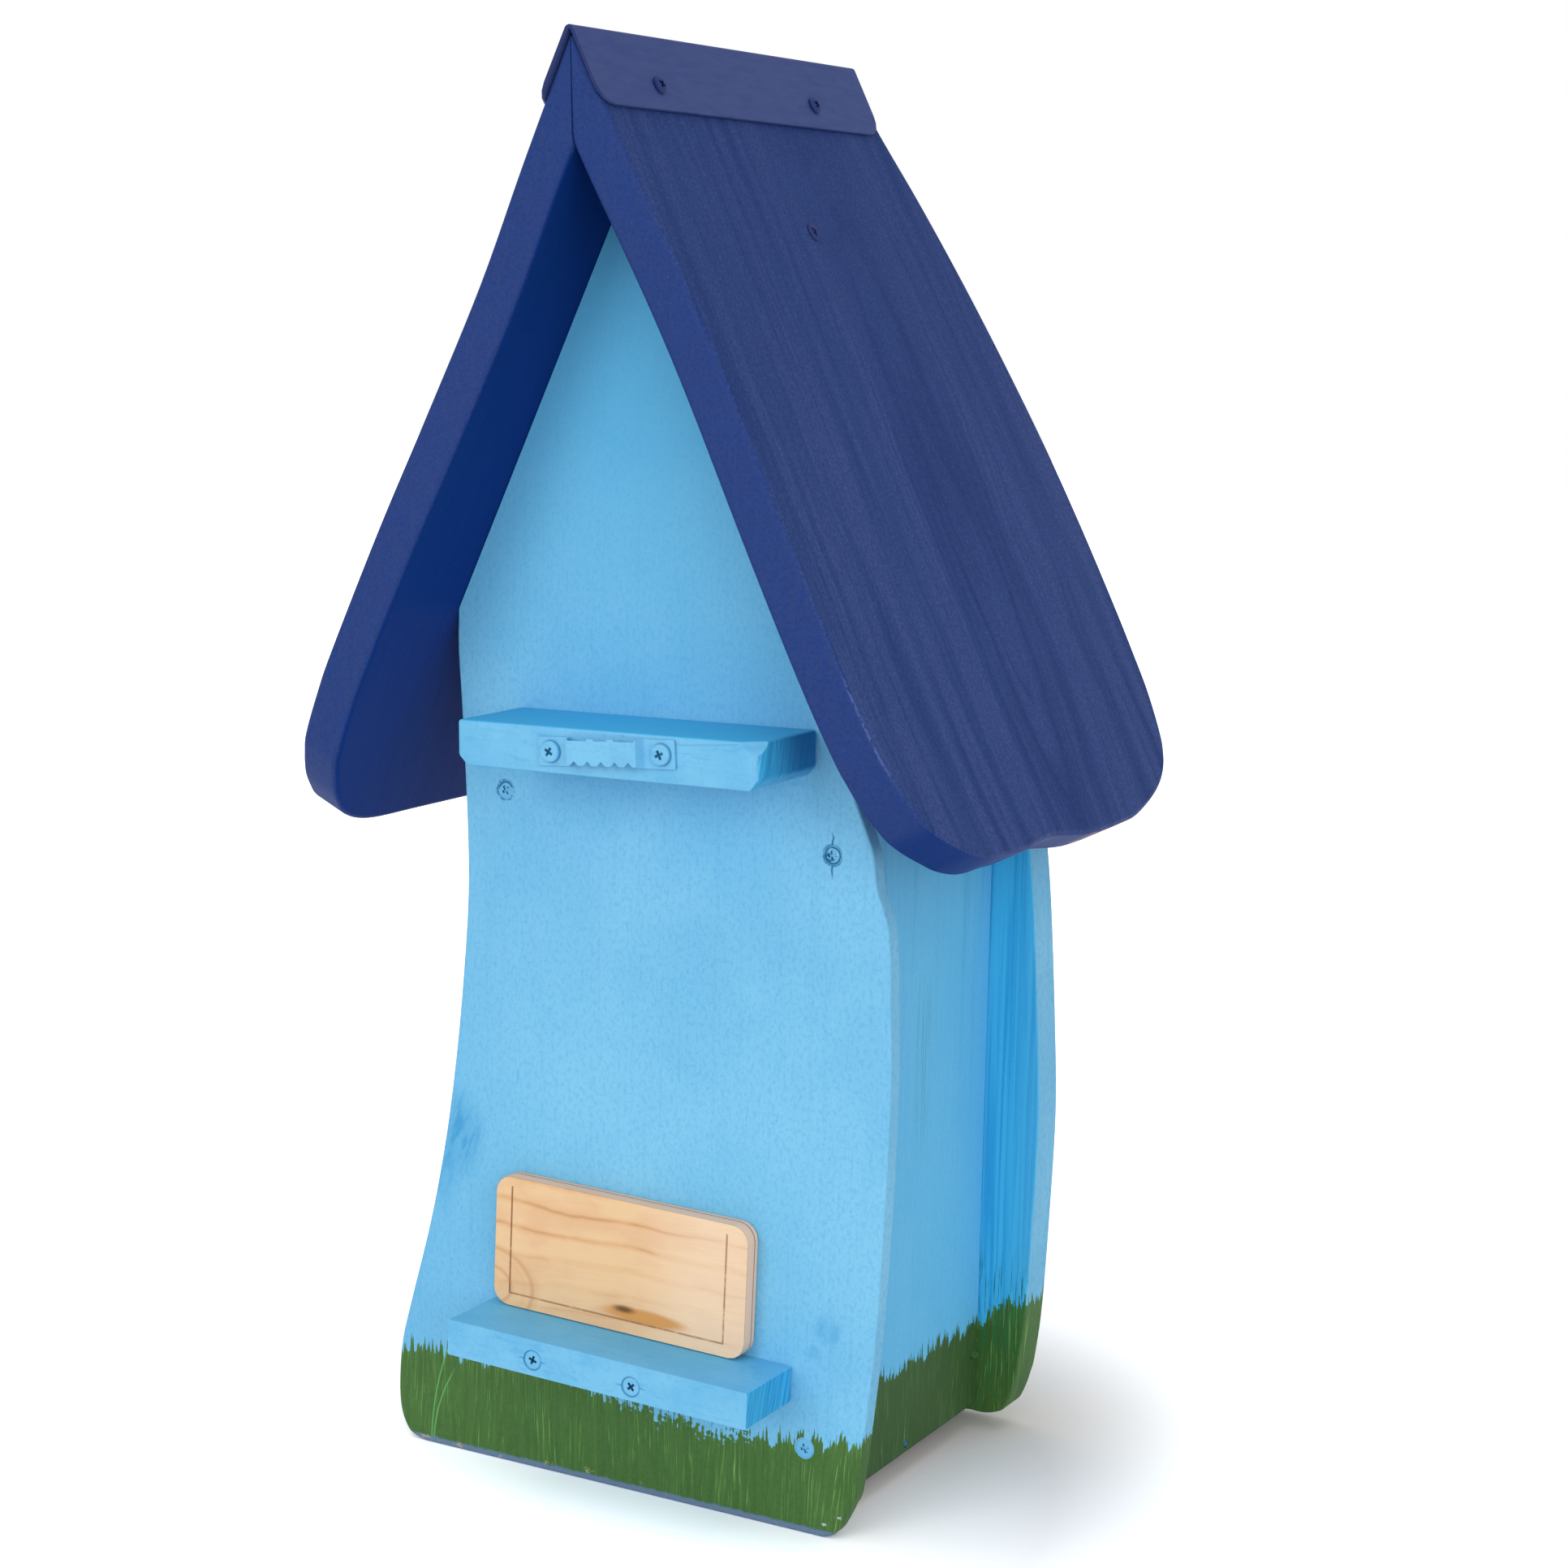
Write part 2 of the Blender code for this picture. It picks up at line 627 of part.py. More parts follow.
def hanger_corner(x):
    """How far the strip's rounded end takes its edges in at a place along it."""
    into = max(0, abs(x) - (hanger_length / 2 - hanger_end_radius))
    return hanger_end_radius - sqrt(max(0, hanger_end_radius ** 2 - into ** 2))


def hanger_columns():
    """(place, top, bottom) of each column of the strip: its round ends, its ramps and its teeth."""
    places = []
    for step in range(corner_steps + 1):
        angle = step / corner_steps * pi / 2
        places.append(hanger_length / 2 - hanger_end_radius * (1 - sin(angle)))
    places += [hanger_bridge / 2, hanger_bridge / 2 - hanger_ramp]
    places += [-place for place in places]
    for tooth in range(hanger_teeth):
        middle = (tooth - (hanger_teeth - 1) / 2) * hanger_tooth_pitch
        places += [middle - hanger_tooth_width / 2, middle, middle + hanger_tooth_width / 2]
    places.sort()
    kept = [place for place, after in zip(places, places[1:]) if after - place > touch_gap / 10]
    half = hanger_height / 2
    return [(place, half - hanger_corner(place),
             hanger_corner(place) + hanger_notch(place) + bridge_share(place) * hanger_bridge_trim - half)
            for place in kept + [places[-1]]]


def make_hanger(hanger_frame, look):
    bm = bmesh.new()
    strips = []
    for place, top, bottom in hanger_columns():
        stand_off = touch_gap + bridge_share(place) * hanger_bridge_rise
        strips.append((bm.verts.new((place, stand_off, top)), bm.verts.new((place, stand_off, bottom))))
    for (top, bottom), (next_top, next_bottom) in zip(strips, strips[1:]):
        bm.faces.new((top, next_top, next_bottom, bottom))
    hanger = put("sawtooth_hanger", bm, look, hanger_frame)
    strip = hanger.modifiers.new("Sheet", "SOLIDIFY")
    strip.thickness = hanger_thickness
    strip.offset = 1
    flat_end = hanger_bridge / 2 - hanger_ramp
    inner, outer = (hanger_tab_spacing - hanger_tab_width) / 2, (hanger_tab_spacing + hanger_tab_width) / 2
    low = hanger_height / 2 - hanger_bridge_trim
    high = hanger_height / 2 + cut_overrun
    deep = 2 * cut_overrun + hanger_bridge_rise + hanger_thickness
    for word, start, end in (("left", -flat_end, -outer), ("middle", -inner, inner), ("right", outer, flat_end)):
        outline = [(start, -cut_overrun, low), (end, -cut_overrun, low), (end, -cut_overrun, high),
                   (start, -cut_overrun, high)]
        cut(hanger, put(word + "_dip_cutter", extruded(outline, (0, deep, 0)), None, hanger_frame))
    return hanger


def add_back_screws(root, look, back, left_wall, right_wall):
    mesh, hole = screw_kind("back_screw", back_thickness + back_screw_bite, look)
    for word, side, inside, wall, shares in (
            ("left", -1, wall_left_inside, left_wall, left_back_screw_shares),
            ("right", 1, wall_right_inside, right_wall, right_back_screw_shares)):
        for level, (across, up) in zip(("upper", "lower"), shares):
            place = (side * (inside + across * wall_thickness), 0, up * side_height)
            fasten("back_screw_%s_%s" % (word, level), mesh, hole, look, root, place, facing((0, 1, 0)),
                   (back, wall))


def add_roof_screws(slopes, boards, beam, look):
    mesh, hole = screw_kind("roof_screw", roof_thickness + roof_screw_bite, look)
    for word, side, share in (("left", -1, left_roof_screw_share), ("right", 1, right_roof_screw_share)):
        along = -back_thickness - share * inside_depth
        place = (side * (roof_screw_down - ridge_setback), along, roof_thickness + roof_screw_proud)
        fasten("roof_screw_" + word, mesh, hole, look, slopes[word], place, (0, 0, 0), (boards[word], beam))


def add_cap_screws(slopes, boards, cap, look):
    sheet = touch_gap + cap_thickness + touch_gap
    length = sheet + cap_screw_bite
    mesh, hole = pan_kind("cap_screw", screw_radius, pan_head_radius, pan_head_height, length, look)
    for word, side in (("left", -1), ("right", 1)):
        for end, share in zip(("rear", "front"), cap_screw_shares):
            place = (side * (cap_screw_down - ridge_setback), cap_back_overhang - share * cap_length,
                     roof_thickness + sheet)
            fasten("cap_screw_%s_%s" % (word, end), mesh, hole, look, slopes[word], place, (0, 0, 0),
                   (cap, boards[word]))


def add_batten_screws(batten_frame, look, back, batten):
    """They go in from inside the box, through the back panel."""
    mesh, hole = screw_kind("batten_screw", back_thickness + batten_screw_bite, look)
    for word, share in zip(("left", "right"), batten_screw_shares):
        place = (share * batten_length, -back_thickness, 0)
        fasten("batten_screw_" + word, mesh, hole, look, batten_frame, place, facing((0, -1, 0)),
               (back, batten))


def add_ledge_screws(ledge_frame, look, ledge, back):
    mesh, hole = screw_kind("ledge_screw", ledge_depth + ledge_screw_bite, look)
    for word, (along, up) in zip(("right", "left"), ledge_screw_shares):
        place = (along * ledge_length, ledge_depth, up * ledge_height)
        fasten("ledge_screw_" + word, mesh, hole, look, ledge_frame, place, facing((0, 1, 0)), (ledge, back))


def add_hanger_screws(hanger_frame, look, hanger, batten):
    sheet = touch_gap + hanger_thickness + touch_gap
    mesh, hole = pan_kind("hanger_screw", small_screw_radius, small_head_radius, small_head_height,
                          sheet + hanger_screw_bite, look)
    for word, side in (("left", -1), ("right", 1)):
        place = (side * hanger_screw_share * hanger_length, sheet, 0)
        fasten("hanger_screw_" + word, mesh, hole, look, hanger_frame, place, facing((0, 1, 0)),
               (hanger, batten))


def add_front_nails(root, look, front, left_wall, right_wall):
    """They go in slantwise through the side walls, close to the corner with the front panel."""
    length = (nail_setback + touch_gap + nail_bite) / cos(nail_angle)
    bm = turned(nail_profile(length), screw_sides)
    bmesh.ops.recalc_face_normals(bm, faces=bm.faces)
    mesh = bpy.data.meshes.new("front_nail")
    bm.to_mesh(mesh)
    bm.free()
    round_shaded(mesh)
    mesh.materials.append(look)
    hole = nail_profile(length, hole_clearance, cut_overrun)
    for word, side, inside, wall in (("left", -1, wall_left_inside, left_wall),
                                     ("right", 1, wall_right_inside, right_wall)):
        for level, share in zip(("lower", "upper"), nail_shares):
            entry = front_inside_y + touch_gap + nail_setback
            place = (side * (inside + wall_thickness), entry, share * side_height)
            head_way = (side * sin(nail_angle), cos(nail_angle), 0)
            fasten("front_nail_%s_%s" % (word, level), mesh, hole, look, root, place, facing(head_way),
                   (wall, front))


def centre_over_origin(root):
    """Moves the root so that the middle of the finished box lies over the origin."""
    bpy.context.view_layer.update()
    graph = bpy.context.evaluated_depsgraph_get()
    corners = []
    for piece in bpy.context.scene.objects:
        if piece.type == "MESH" and not piece.hide_render:
            shown = piece.evaluated_get(graph)
            corners += [shown.matrix_world @ vertex.co for vertex in shown.data.vertices]
    for axis in (0, 1):
        values = [corner[axis] for corner in corners]
        root.location[axis] -= (min(values) + max(values)) / 2


# Derived places
front_inside_y = -back_thickness - inside_depth
eaves_reach = panel_reach * left_back_side_shares[-1][1] + ridge_offset
side_height = (ridge_under_height - eaves_reach / tan(roof_lean_left)) / side_top_share
batten_middle_height = side_height - batten_drop
cavity_middle_x = (wall_right_inside - wall_left_inside) / 2
pivot_height = wall_lift + floor_thickness / 2
roof_half_angle = (roof_lean_left + roof_lean_right) / 2
ridge_tilt = (roof_lean_left - roof_lean_right) / 2
ridge_setback = roof_thickness / tan(roof_half_angle)

for old in list(bpy.data.objects):
    bpy.data.objects.remove(old)

sky_paint = material("sky_paint", (130, 198, 236), 0.62)
wall_paint = material("wall_paint", (112, 186, 228), 0.65)
roof_paint = material("roof_paint", (48, 66, 120), 0.6)
metal_paint = material("metal_paint", (54, 71, 121), 0.5)
bare_wood = material("bare_wood", (214, 180, 132), 0.75)
plywood = material("plywood", (205, 168, 120), 0.75)
plate_wood = material("plate_wood", (226, 196, 150), 0.55)
painted_steel = material("painted_steel", (124, 192, 230), 0.5, 0.2)
bare_steel = material("bare_steel", (150, 152, 155), 0.35, 1.0)

root = frame("nest_box", None)
ridge_place = Vector((ridge_offset, 0, ridge_under_height))
slopes = {"left": frame("left_slope", root, ridge_place, (0, roof_lean_left - pi / 2, 0)),
          "right": frame("right_slope", root, ridge_place, (0, pi / 2 - roof_lean_right, 0))}
ridge_rise = Vector((sin(ridge_tilt), 0, cos(ridge_tilt))) * roof_thickness / sin(roof_half_angle)
cap_frame = frame("ridge_line", root, ridge_place + ridge_rise, (0, ridge_tilt, 0))
batten_frame = frame("batten_line", root, (-batten_offset, 0, batten_middle_height), (0, batten_tilt, 0))
ledge_frame = frame("ledge_line", root, (-ledge_offset, 0, ledge_middle_height), (0, -ledge_tilt, 0))
hanger_place = (-hanger_offset, batten_depth, batten_middle_height + hanger_lift)
hanger_frame = frame("hanger_line", root, hanger_place, (0, hanger_tilt, 0))

back_panel, front_panel = make_panels(root, sky_paint)
left_wall = make_wall("side_wall_left", -1, wall_left_inside, root, wall_paint)
right_wall = make_wall("side_wall_right", 1, wall_right_inside, root, wall_paint)
ridge_beam = make_beam(root, bare_wood)
floor_flap = make_floor(root, plywood)
boards = {}
for word, side, length, rear_shares in (("left", -1, roof_length_left, left_roof_rear_shares),
                                        ("right", 1, roof_length_right, right_roof_rear_shares)):
    boards[word] = make_roof_board("roof_board_" + word, side, slopes[word], length, rear_shares, roof_paint)
ridge_cap = make_ridge_cap(cap_frame, metal_paint)
batten = make_batten(batten_frame, sky_paint)
ledge = make_ledge(ledge_frame, sky_paint)
plate = make_plate(ledge_frame, plate_wood)
hanger = make_hanger(hanger_frame, painted_steel)

make_pins(root, bare_steel, left_wall, right_wall, floor_flap)
add_back_screws(root, painted_steel, back_panel, left_wall, right_wall)
add_roof_screws(slopes, boards, ridge_beam, metal_paint)
add_cap_screws(slopes, boards, ridge_cap, metal_paint)
add_batten_screws(batten_frame, bare_steel, back_panel, batten)
add_ledge_screws(ledge_frame, painted_steel, ledge, back_panel)
add_hanger_screws(hanger_frame, painted_steel, hanger, batten)
add_front_nails(root, painted_steel, front_panel, left_wall, right_wall)
centre_over_origin(root)
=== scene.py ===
# A painted nest box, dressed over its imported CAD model. Metres, +Z up.
# The wall side faces +Y, the entrance faces -Y, and the box stands on Z = 0.

import math

import bpy
from mathutils import Matrix, Vector


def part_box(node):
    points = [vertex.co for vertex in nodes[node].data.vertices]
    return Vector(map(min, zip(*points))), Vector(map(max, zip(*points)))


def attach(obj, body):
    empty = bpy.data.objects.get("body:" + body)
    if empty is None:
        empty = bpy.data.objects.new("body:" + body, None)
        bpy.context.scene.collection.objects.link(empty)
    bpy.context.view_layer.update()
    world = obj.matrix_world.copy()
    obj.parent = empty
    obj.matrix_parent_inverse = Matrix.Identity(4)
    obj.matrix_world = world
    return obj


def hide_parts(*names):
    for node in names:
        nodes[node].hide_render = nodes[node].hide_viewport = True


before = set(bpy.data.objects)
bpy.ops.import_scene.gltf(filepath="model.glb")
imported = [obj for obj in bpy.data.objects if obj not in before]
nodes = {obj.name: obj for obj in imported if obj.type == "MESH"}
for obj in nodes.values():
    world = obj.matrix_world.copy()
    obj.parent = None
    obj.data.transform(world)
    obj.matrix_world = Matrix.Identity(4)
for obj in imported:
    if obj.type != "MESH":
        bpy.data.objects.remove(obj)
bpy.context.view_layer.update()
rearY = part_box("back_panel")[1].y
leftToMiddle = 0.0867           # from the left wall's outside to the middle of the panels' base
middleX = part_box("side_wall_left")[0].x + leftToMiddle
backWay = Vector((0, 1, 0))     # towards the wall that the box hangs on
sideWay = {"left": -1, "right": 1}      # along X
print("frame loaded:", len(nodes), "nodes")


# Picking and finishing, as by hand

def objectMode():
    if bpy.context.object and bpy.context.object.mode != "OBJECT":
        bpy.ops.object.mode_set(mode="OBJECT")


def letGo():
    objectMode()
    bpy.ops.object.select_all(action="DESELECT")


def takeUp(piece):
    letGo()
    piece.select_set(True)
    bpy.context.view_layer.objects.active = piece


def pickEdges(piece, test):
    objectMode()
    mesh = piece.data
    for every in (mesh.polygons, mesh.edges, mesh.vertices):
        every.foreach_set("select", [False] * len(every))
    for edge in mesh.edges:
        edge.select = test(edge)
    bpy.ops.object.mode_set(mode="EDIT")
    bpy.ops.mesh.select_mode(type="EDGE")


def applyModifier(piece, kind, **values):
    takeUp(piece)
    bpy.ops.object.modifier_add(type=kind)
    added = piece.modifiers[-1]
    for key, value in values.items():
        setattr(added, key, value)
    bpy.ops.object.modifier_apply(modifier=added.name)


def cutAway(piece, cutter):
    applyModifier(piece, "BOOLEAN", operation="DIFFERENCE", solver="EXACT", object=cutter)
    bpy.data.objects.remove(cutter)


def roundEdges(piece, width, segments, sharpness):
    takeUp(piece)
    bpy.ops.object.mode_set(mode="EDIT")
    bpy.ops.mesh.select_mode(type="EDGE")
    bpy.ops.mesh.select_all(action="DESELECT")
    bpy.ops.mesh.edges_select_sharp(sharpness=math.radians(sharpness))
    bpy.ops.mesh.bevel(offset=width, segments=segments, profile=0.5, affect="EDGES", clamp_overlap=False)
    objectMode()


def smoothFaces(piece, angle=40):
    takeUp(piece)
    bpy.ops.object.shade_smooth_by_angle(angle=math.radians(angle))
    applyModifier(piece, "WEIGHTED_NORMAL", keep_sharp=True, weight=80)


def dress(piece, node, finish, body="box"):
    piece.data.materials.clear()
    piece.data.materials.append(finish)
    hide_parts(node)
    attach(piece, body)


def copyNode(node, name):
    # a CAD node's shape as a new piece, its loose triangles joined and its flat faces made whole
    piece = nodes[node].copy()
    piece.data = nodes[node].data.copy()
    piece.name = name
    for key in list(piece.keys()):
        if key.startswith("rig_"):
            del piece[key]
    piece.parent = None
    bpy.context.scene.collection.objects.link(piece)
    takeUp(piece)
    bpy.ops.object.mode_set(mode="EDIT")
    bpy.ops.mesh.select_all(action="SELECT")
    bpy.ops.mesh.remove_doubles(threshold=0.000005)
    bpy.ops.mesh.dissolve_limited(angle_limit=math.radians(0.5))
    objectMode()
    return piece


# Shader maths, written as Python expressions

class Tone:
    def __init__(self, finish, socket):
        self.finish = finish
        self.socket = socket

    def __add__(self, other):
        return self.finish.maths("ADD", self, other)

    def __radd__(self, other):
        return self.finish.maths("ADD", other, self)

    def __sub__(self, other):
        return self.finish.maths("SUBTRACT", self, other)

    def __rsub__(self, other):
        return self.finish.maths("SUBTRACT", other, self)

    def __mul__(self, other):
        return self.finish.maths("MULTIPLY", self, other)

    def __rmul__(self, other):
        return self.finish.maths("MULTIPLY", other, self)

    def __truediv__(self, other):
        return self.finish.maths("DIVIDE", self, other)

    def __rtruediv__(self, other):
        return self.finish.maths("DIVIDE", other, self)


def tint(red, green, blue):
    # a colour as it looks on a screen, 0 to 255, as linear values
    made = []
    for channel in (red, green, blue):
        share = channel / 255
        made.append(share / 12.92 if share <= 0.04045 else ((share + 0.055) / 1.055) ** 2.4)
    return (*made, 1.0)


class Wiring:
    # adds nodes to one tree, a material's or the world's
    def __init__(self, tree):
        self.tree = tree

    def node(self, kind, settings, sockets):
        made = self.tree.nodes.new(kind)
        for key, value in settings.items():
            if key == "stops":
                self.setStops(made, value)
            else:
                setattr(made, key, value)
        for key, value in sockets.items():
            if isinstance(value, Tone):
                self.tree.links.new(value.socket, made.inputs[key])
            else:
                made.inputs[key].default_value = value
        return made

    def setStops(self, made, stops):
        elements = made.color_ramp.elements
        while len(elements) < len(stops):
            elements.new(1.0)
        for element, (place, colour) in zip(elements, stops):
            element.position = place
            element.color = colour


class Finish(Wiring):
    def __init__(self, name, specular=0.2, metallic=0.0):
        self.material = bpy.data.materials.new(name)
        self.material.use_nodes = True
        super().__init__(self.material.node_tree)
        self.shader = self.tree.nodes["Principled BSDF"]
        self.shader.inputs["Metallic"].default_value = metallic
        self.shader.inputs["Specular IOR Level"].default_value = specular
        self.place = Tone(self, self.node("ShaderNodeTexCoord", {}, {}).outputs["Object"])
        split = self.node("ShaderNodeSeparateXYZ", {}, {"Vector": self.place})
        self.x, self.y, self.z = (Tone(self, out) for out in split.outputs)
        normal = Tone(self, self.node("ShaderNodeNewGeometry", {}, {}).outputs["Normal"])
        facing = self.node("ShaderNodeSeparateXYZ", {}, {"Vector": normal})
        self.nx, self.ny, self.nz = (Tone(self, out) for out in facing.outputs)

    def maths(self, operation, first, second=0.0, clamp=False):
        settings = {"operation": operation, "use_clamp": clamp}
        return Tone(self, self.node("ShaderNodeMath", settings, {0: first, 1: second}).outputs[0])

    def most(self, first, second):
        return self.maths("MAXIMUM", first, second)

    def size(self, value):
        return self.maths("ABSOLUTE", value)

    def vector(self, x, y, z):
        return Tone(self, self.node("ShaderNodeCombineXYZ", {}, {0: x, 1: y, 2: z}).outputs[0])

    def mask(self, value, low, high):
        # 0 below low, 1 above high, and soft between them
        made = self.node("ShaderNodeMapRange", {"interpolation_type": "SMOOTHSTEP"},
                         {0: value, 1: low, 2: high, 3: 0.0, 4: 1.0})
        return Tone(self, made.outputs[0])

    def fade(self, value, low, high):
        # 1 below low, 0 above high
        return 1 - self.mask(value, low, high)

    def span(self, first, second, weight=1.0):
        # how far off a point is, from its distances along two axes
        return self.maths("SQRT", first * first * weight + second * second)

    def mix(self, share, first, second):
        made = self.node("ShaderNodeMix", {"data_type": "RGBA"}, {0: share, 6: first, 7: second})
        return Tone(self, made.outputs[2])

    def noise(self, where, scale, detail=3.0, rough=0.55, warp=0.0):
        made = self.node("ShaderNodeTexNoise", {}, {
            "Vector": where, "Scale": scale, "Detail": detail, "Roughness": rough, "Distortion": warp})
        return Tone(self, made.outputs[0])

    def streaked(self, where, detail=3.0, rough=0.55, warp=0.0):
        # noise drawn out along the axes that where multiplies least
        return self.noise(self.vector(*where), 1.0, detail, rough, warp)

    def blades(self, along, scale, sharpness):
        # a row of pointed tips, 0 to 1 high, each with its own height
        made = self.node("ShaderNodeTexVoronoi", {"voronoi_dimensions": "1D"}, {"W": along, "Scale": scale})
        split = self.node("ShaderNodeSeparateXYZ", {}, {"Vector": Tone(self, made.outputs["Color"])})
        point = self.maths("SUBTRACT", 1.0, Tone(self, made.outputs["Distance"]) * sharpness, clamp=True)
        return point * Tone(self, split.outputs[0])

    def mark(self, name):
        # a value that a piece carries on its faces
        return Tone(self, self.node("ShaderNodeAttribute", {"attribute_name": name}, {}).outputs["Fac"])

    def strip(self, value, middle, half, soft):
        # 1 where the value lies within half of middle
        return self.fade(self.size(value - middle), half, half + soft)

    def ramp(self, value, stops):
        made = self.node("ShaderNodeValToRGB", {"stops": stops}, {0: value})
        return Tone(self, made.outputs[0])

    def away(self, where):
        # the distance to a point
        made = self.node("ShaderNodeVectorMath", {"operation": "DISTANCE"}, {0: self.place, 1: where})
        return Tone(self, made.outputs["Value"])

    def near(self, where, reach, soft):
        # 1 within reach of a point, fading over soft
        return self.fade(self.away(where), reach, reach + soft)

    def bump(self, height, distance, strength):
        sockets = {"Height": height, "Distance": distance, "Strength": strength}
        return Tone(self, self.node("ShaderNodeBump", {}, sockets).outputs["Normal"])

    def set(self, **sockets):
        for key, value in sockets.items():
            self.tree.links.new(value.socket, self.shader.inputs[key.replace("_", " ")])
        return self.material


def headPlace(node, way):
    # the middle of a screw's head, from the CAD solid
    points = [vertex.co for vertex in nodes[node].data.vertices]
    far = max(point.dot(way) for point in points)
    rim = [point for point in points if point.dot(way) > far - 0.00005]
    low = Vector(min(point[axis] for point in rim) for axis in range(3))
    high = Vector(max(point[axis] for point in rim) for axis in range(3))
    return (low + high) / 2


# Finishes

grass = {
    "body": tint(69, 107, 52),
    "deep": tint(54, 92, 42),
    "blade": tint(98, 146, 74),
    "pale": tint(134, 176, 96),
    "teal": tint(28, 120, 70),
    "shadow": tint(40, 66, 36),
    "drop": 0.0045,         # how far the blades' feet stand under the line
    "drift": 0.012,         # how much the line wanders
    "blades": [             # how many in a metre, how pointed, how tall and how far moved along
        (120, 1.6, 0.0060, 0.078),
        (380, 1.8, 0.0056, 0.052),
        (820, 2.4, 0.0052, 0.052),
    ],
}
grassLine = {               # the line's height along X on the two panels, in millimetres
    "reach": 120,
    "tall": 100,
    "back": [(-111, 44), (-99, 43), (-87, 39), (-62, 36), (-44, 34), (-25, 34), (-6, 36), (14, 39),
             (28, 42), (51, 43), (71, 42), (87, 40), (99, 42), (111, 39)],
    "front": [(-114, 62), (-108, 60), (-102, 58), (-95, 54), (-87, 48), (-60, 46), (-20, 50),
              (30, 44), (70, 50), (100, 58)],
}
bodyPaint = {
    "lit": tint(127, 196, 232),
    "dull": tint(113, 187, 227),
    "deep": tint(82, 165, 214),
    "crack": tint(24, 104, 150),
    "bare": tint(170, 156, 128),
    "foot": tint(100, 124, 156),
    "slant": 0.73,          # carries a panel's pattern round its edges
}


def grassTop(f, panel):
    # the height of a panel's grass line
    reach, tall = grassLine["reach"], grassLine["tall"]
    stops = [((x + reach) / (2 * reach), (z / tall, z / tall, z / tall, 1.0)) for x, z in grassLine[panel]]
    return f.ramp((f.x + reach / 1000) / (2 * reach / 1000), stops) * (tall / 1000)


def grassOver(f, colour, along, top, vivid, patchy=None, dim=0.0):
    # brushed grass over a colour: pointed blades up to a line, and long pale strokes in it
    bend = f.streaked((along * 26, 0.0, 2.0), 2.0) - 0.5
    swept = along + (f.z - top) * bend * 0.9 + f.streaked((along * 60, 3.0, f.z * 60)) * 0.0012
    tips = 0.0
    for scale, sharpness, height, shift in grass["blades"]:
        tips = tips + f.blades(swept + shift, scale, sharpness) * height
    drift = (f.streaked((along * 45, 9.0, 0.0)) - 0.5) * grass["drift"]
    reach = top + tips + drift - f.z - grass["drop"]
    if patchy:
        rag = f.noise(f.place, 520.0, 3.0, 0.6) * 0.7 + f.streaked((along * 700, 1.0, f.z * 200), 2.0) * 0.5
        reach = reach + patchy * (rag - 0.60) * 0.030
    grassy = f.mask(reach, -0.0001, 0.0004)
    long = f.streaked((swept * 1500, 1.0, f.z * 34), 3.0, 0.6)
    broad = f.streaked((swept * 420, 5.0, f.z * 26), 3.0, 0.6)
    hair = f.streaked((swept * 2600, 8.0, f.z * 60), 2.0, 0.5)
    dapple = f.streaked((swept * 90, 4.0, f.z * 40), 3.0, 0.6)
    grit = f.noise(f.place, 1100.0, 3.0, 0.6)
    green = f.mix(f.mask(broad * 0.6 + grit * 0.4, 0.44, 0.58) * 0.55, grass["body"], grass["deep"])
    bright = f.mask(long, 0.52, 0.66) * f.mask(dapple, 0.38, 0.56)
    green = f.mix(bright * (0.65 + vivid), green, grass["blade"])
    pale = f.mask(long * 0.6 + hair * 0.4, 0.57, 0.64) * f.mask(dapple, 0.40, 0.54)
    green = f.mix(pale * (0.6 + vivid), green, grass["pale"])
    green = f.mix(f.fade(reach, 0.0, 0.005) * f.mask(hair, 0.45, 0.6) * 0.5, green, grass["blade"])
    if vivid:
        thin = f.mask(f.streaked((swept * 1300, 6.0, f.z * 60)), 0.5, 0.62)
        green = f.mix(thin * f.fade(reach, 0.012, 0.05) * vivid * 1.1, green, grass["teal"])
    if dim:
        green = f.mix(dim, green, grass["shadow"])
    return f.mix(grassy, colour, green), grassy * (long + hair * 0.5)


def bluePaint(f, along, streaks):
    # brushed sky blue: soft clouds, a fine mottle and faint grain from the wood below
    cloud = f.noise(f.place, 16.0, 4.0, 0.55)
    mottle = f.streaked((along * 620, f.y * 200, f.z * 420), 3.0, 0.6)
    pores = f.noise(f.place, 1500.0, 2.0, 0.5)
    grain = f.streaked((along * 330, 0.0, f.z * 7), 5.0, 0.65, 0.3)
    brush = f.streaked((along * 1100, 2.0, f.z * 26), 4.0, 0.6)
    colour = f.mix(f.mask(cloud, 0.38, 0.66) * 0.8, bodyPaint["lit"], bodyPaint["dull"])
    colour = f.mix(f.mask(mottle, 0.46, 0.66) * 0.34, colour, bodyPaint["deep"])
    colour = f.mix(f.mask(pores, 0.58, 0.72) * 0.4, colour, bodyPaint["deep"])
    colour = f.mix(f.mask(grain, 0.52, 0.7) * streaks, colour, bodyPaint["deep"])
    colour = f.mix(f.mask(brush, 0.54, 0.72) * streaks * 0.8, colour, bodyPaint["deep"])
    return colour, mottle * 0.7 + pores * 0.25 + grain * 0.5 + brush * 0.4


def wornFoot(f, low, high):
    # 1 on the worn edge that a panel stands on
    return f.fade(f.z + (f.noise(f.place, 260.0, 3.0) - 0.5) * 0.002, low, high)


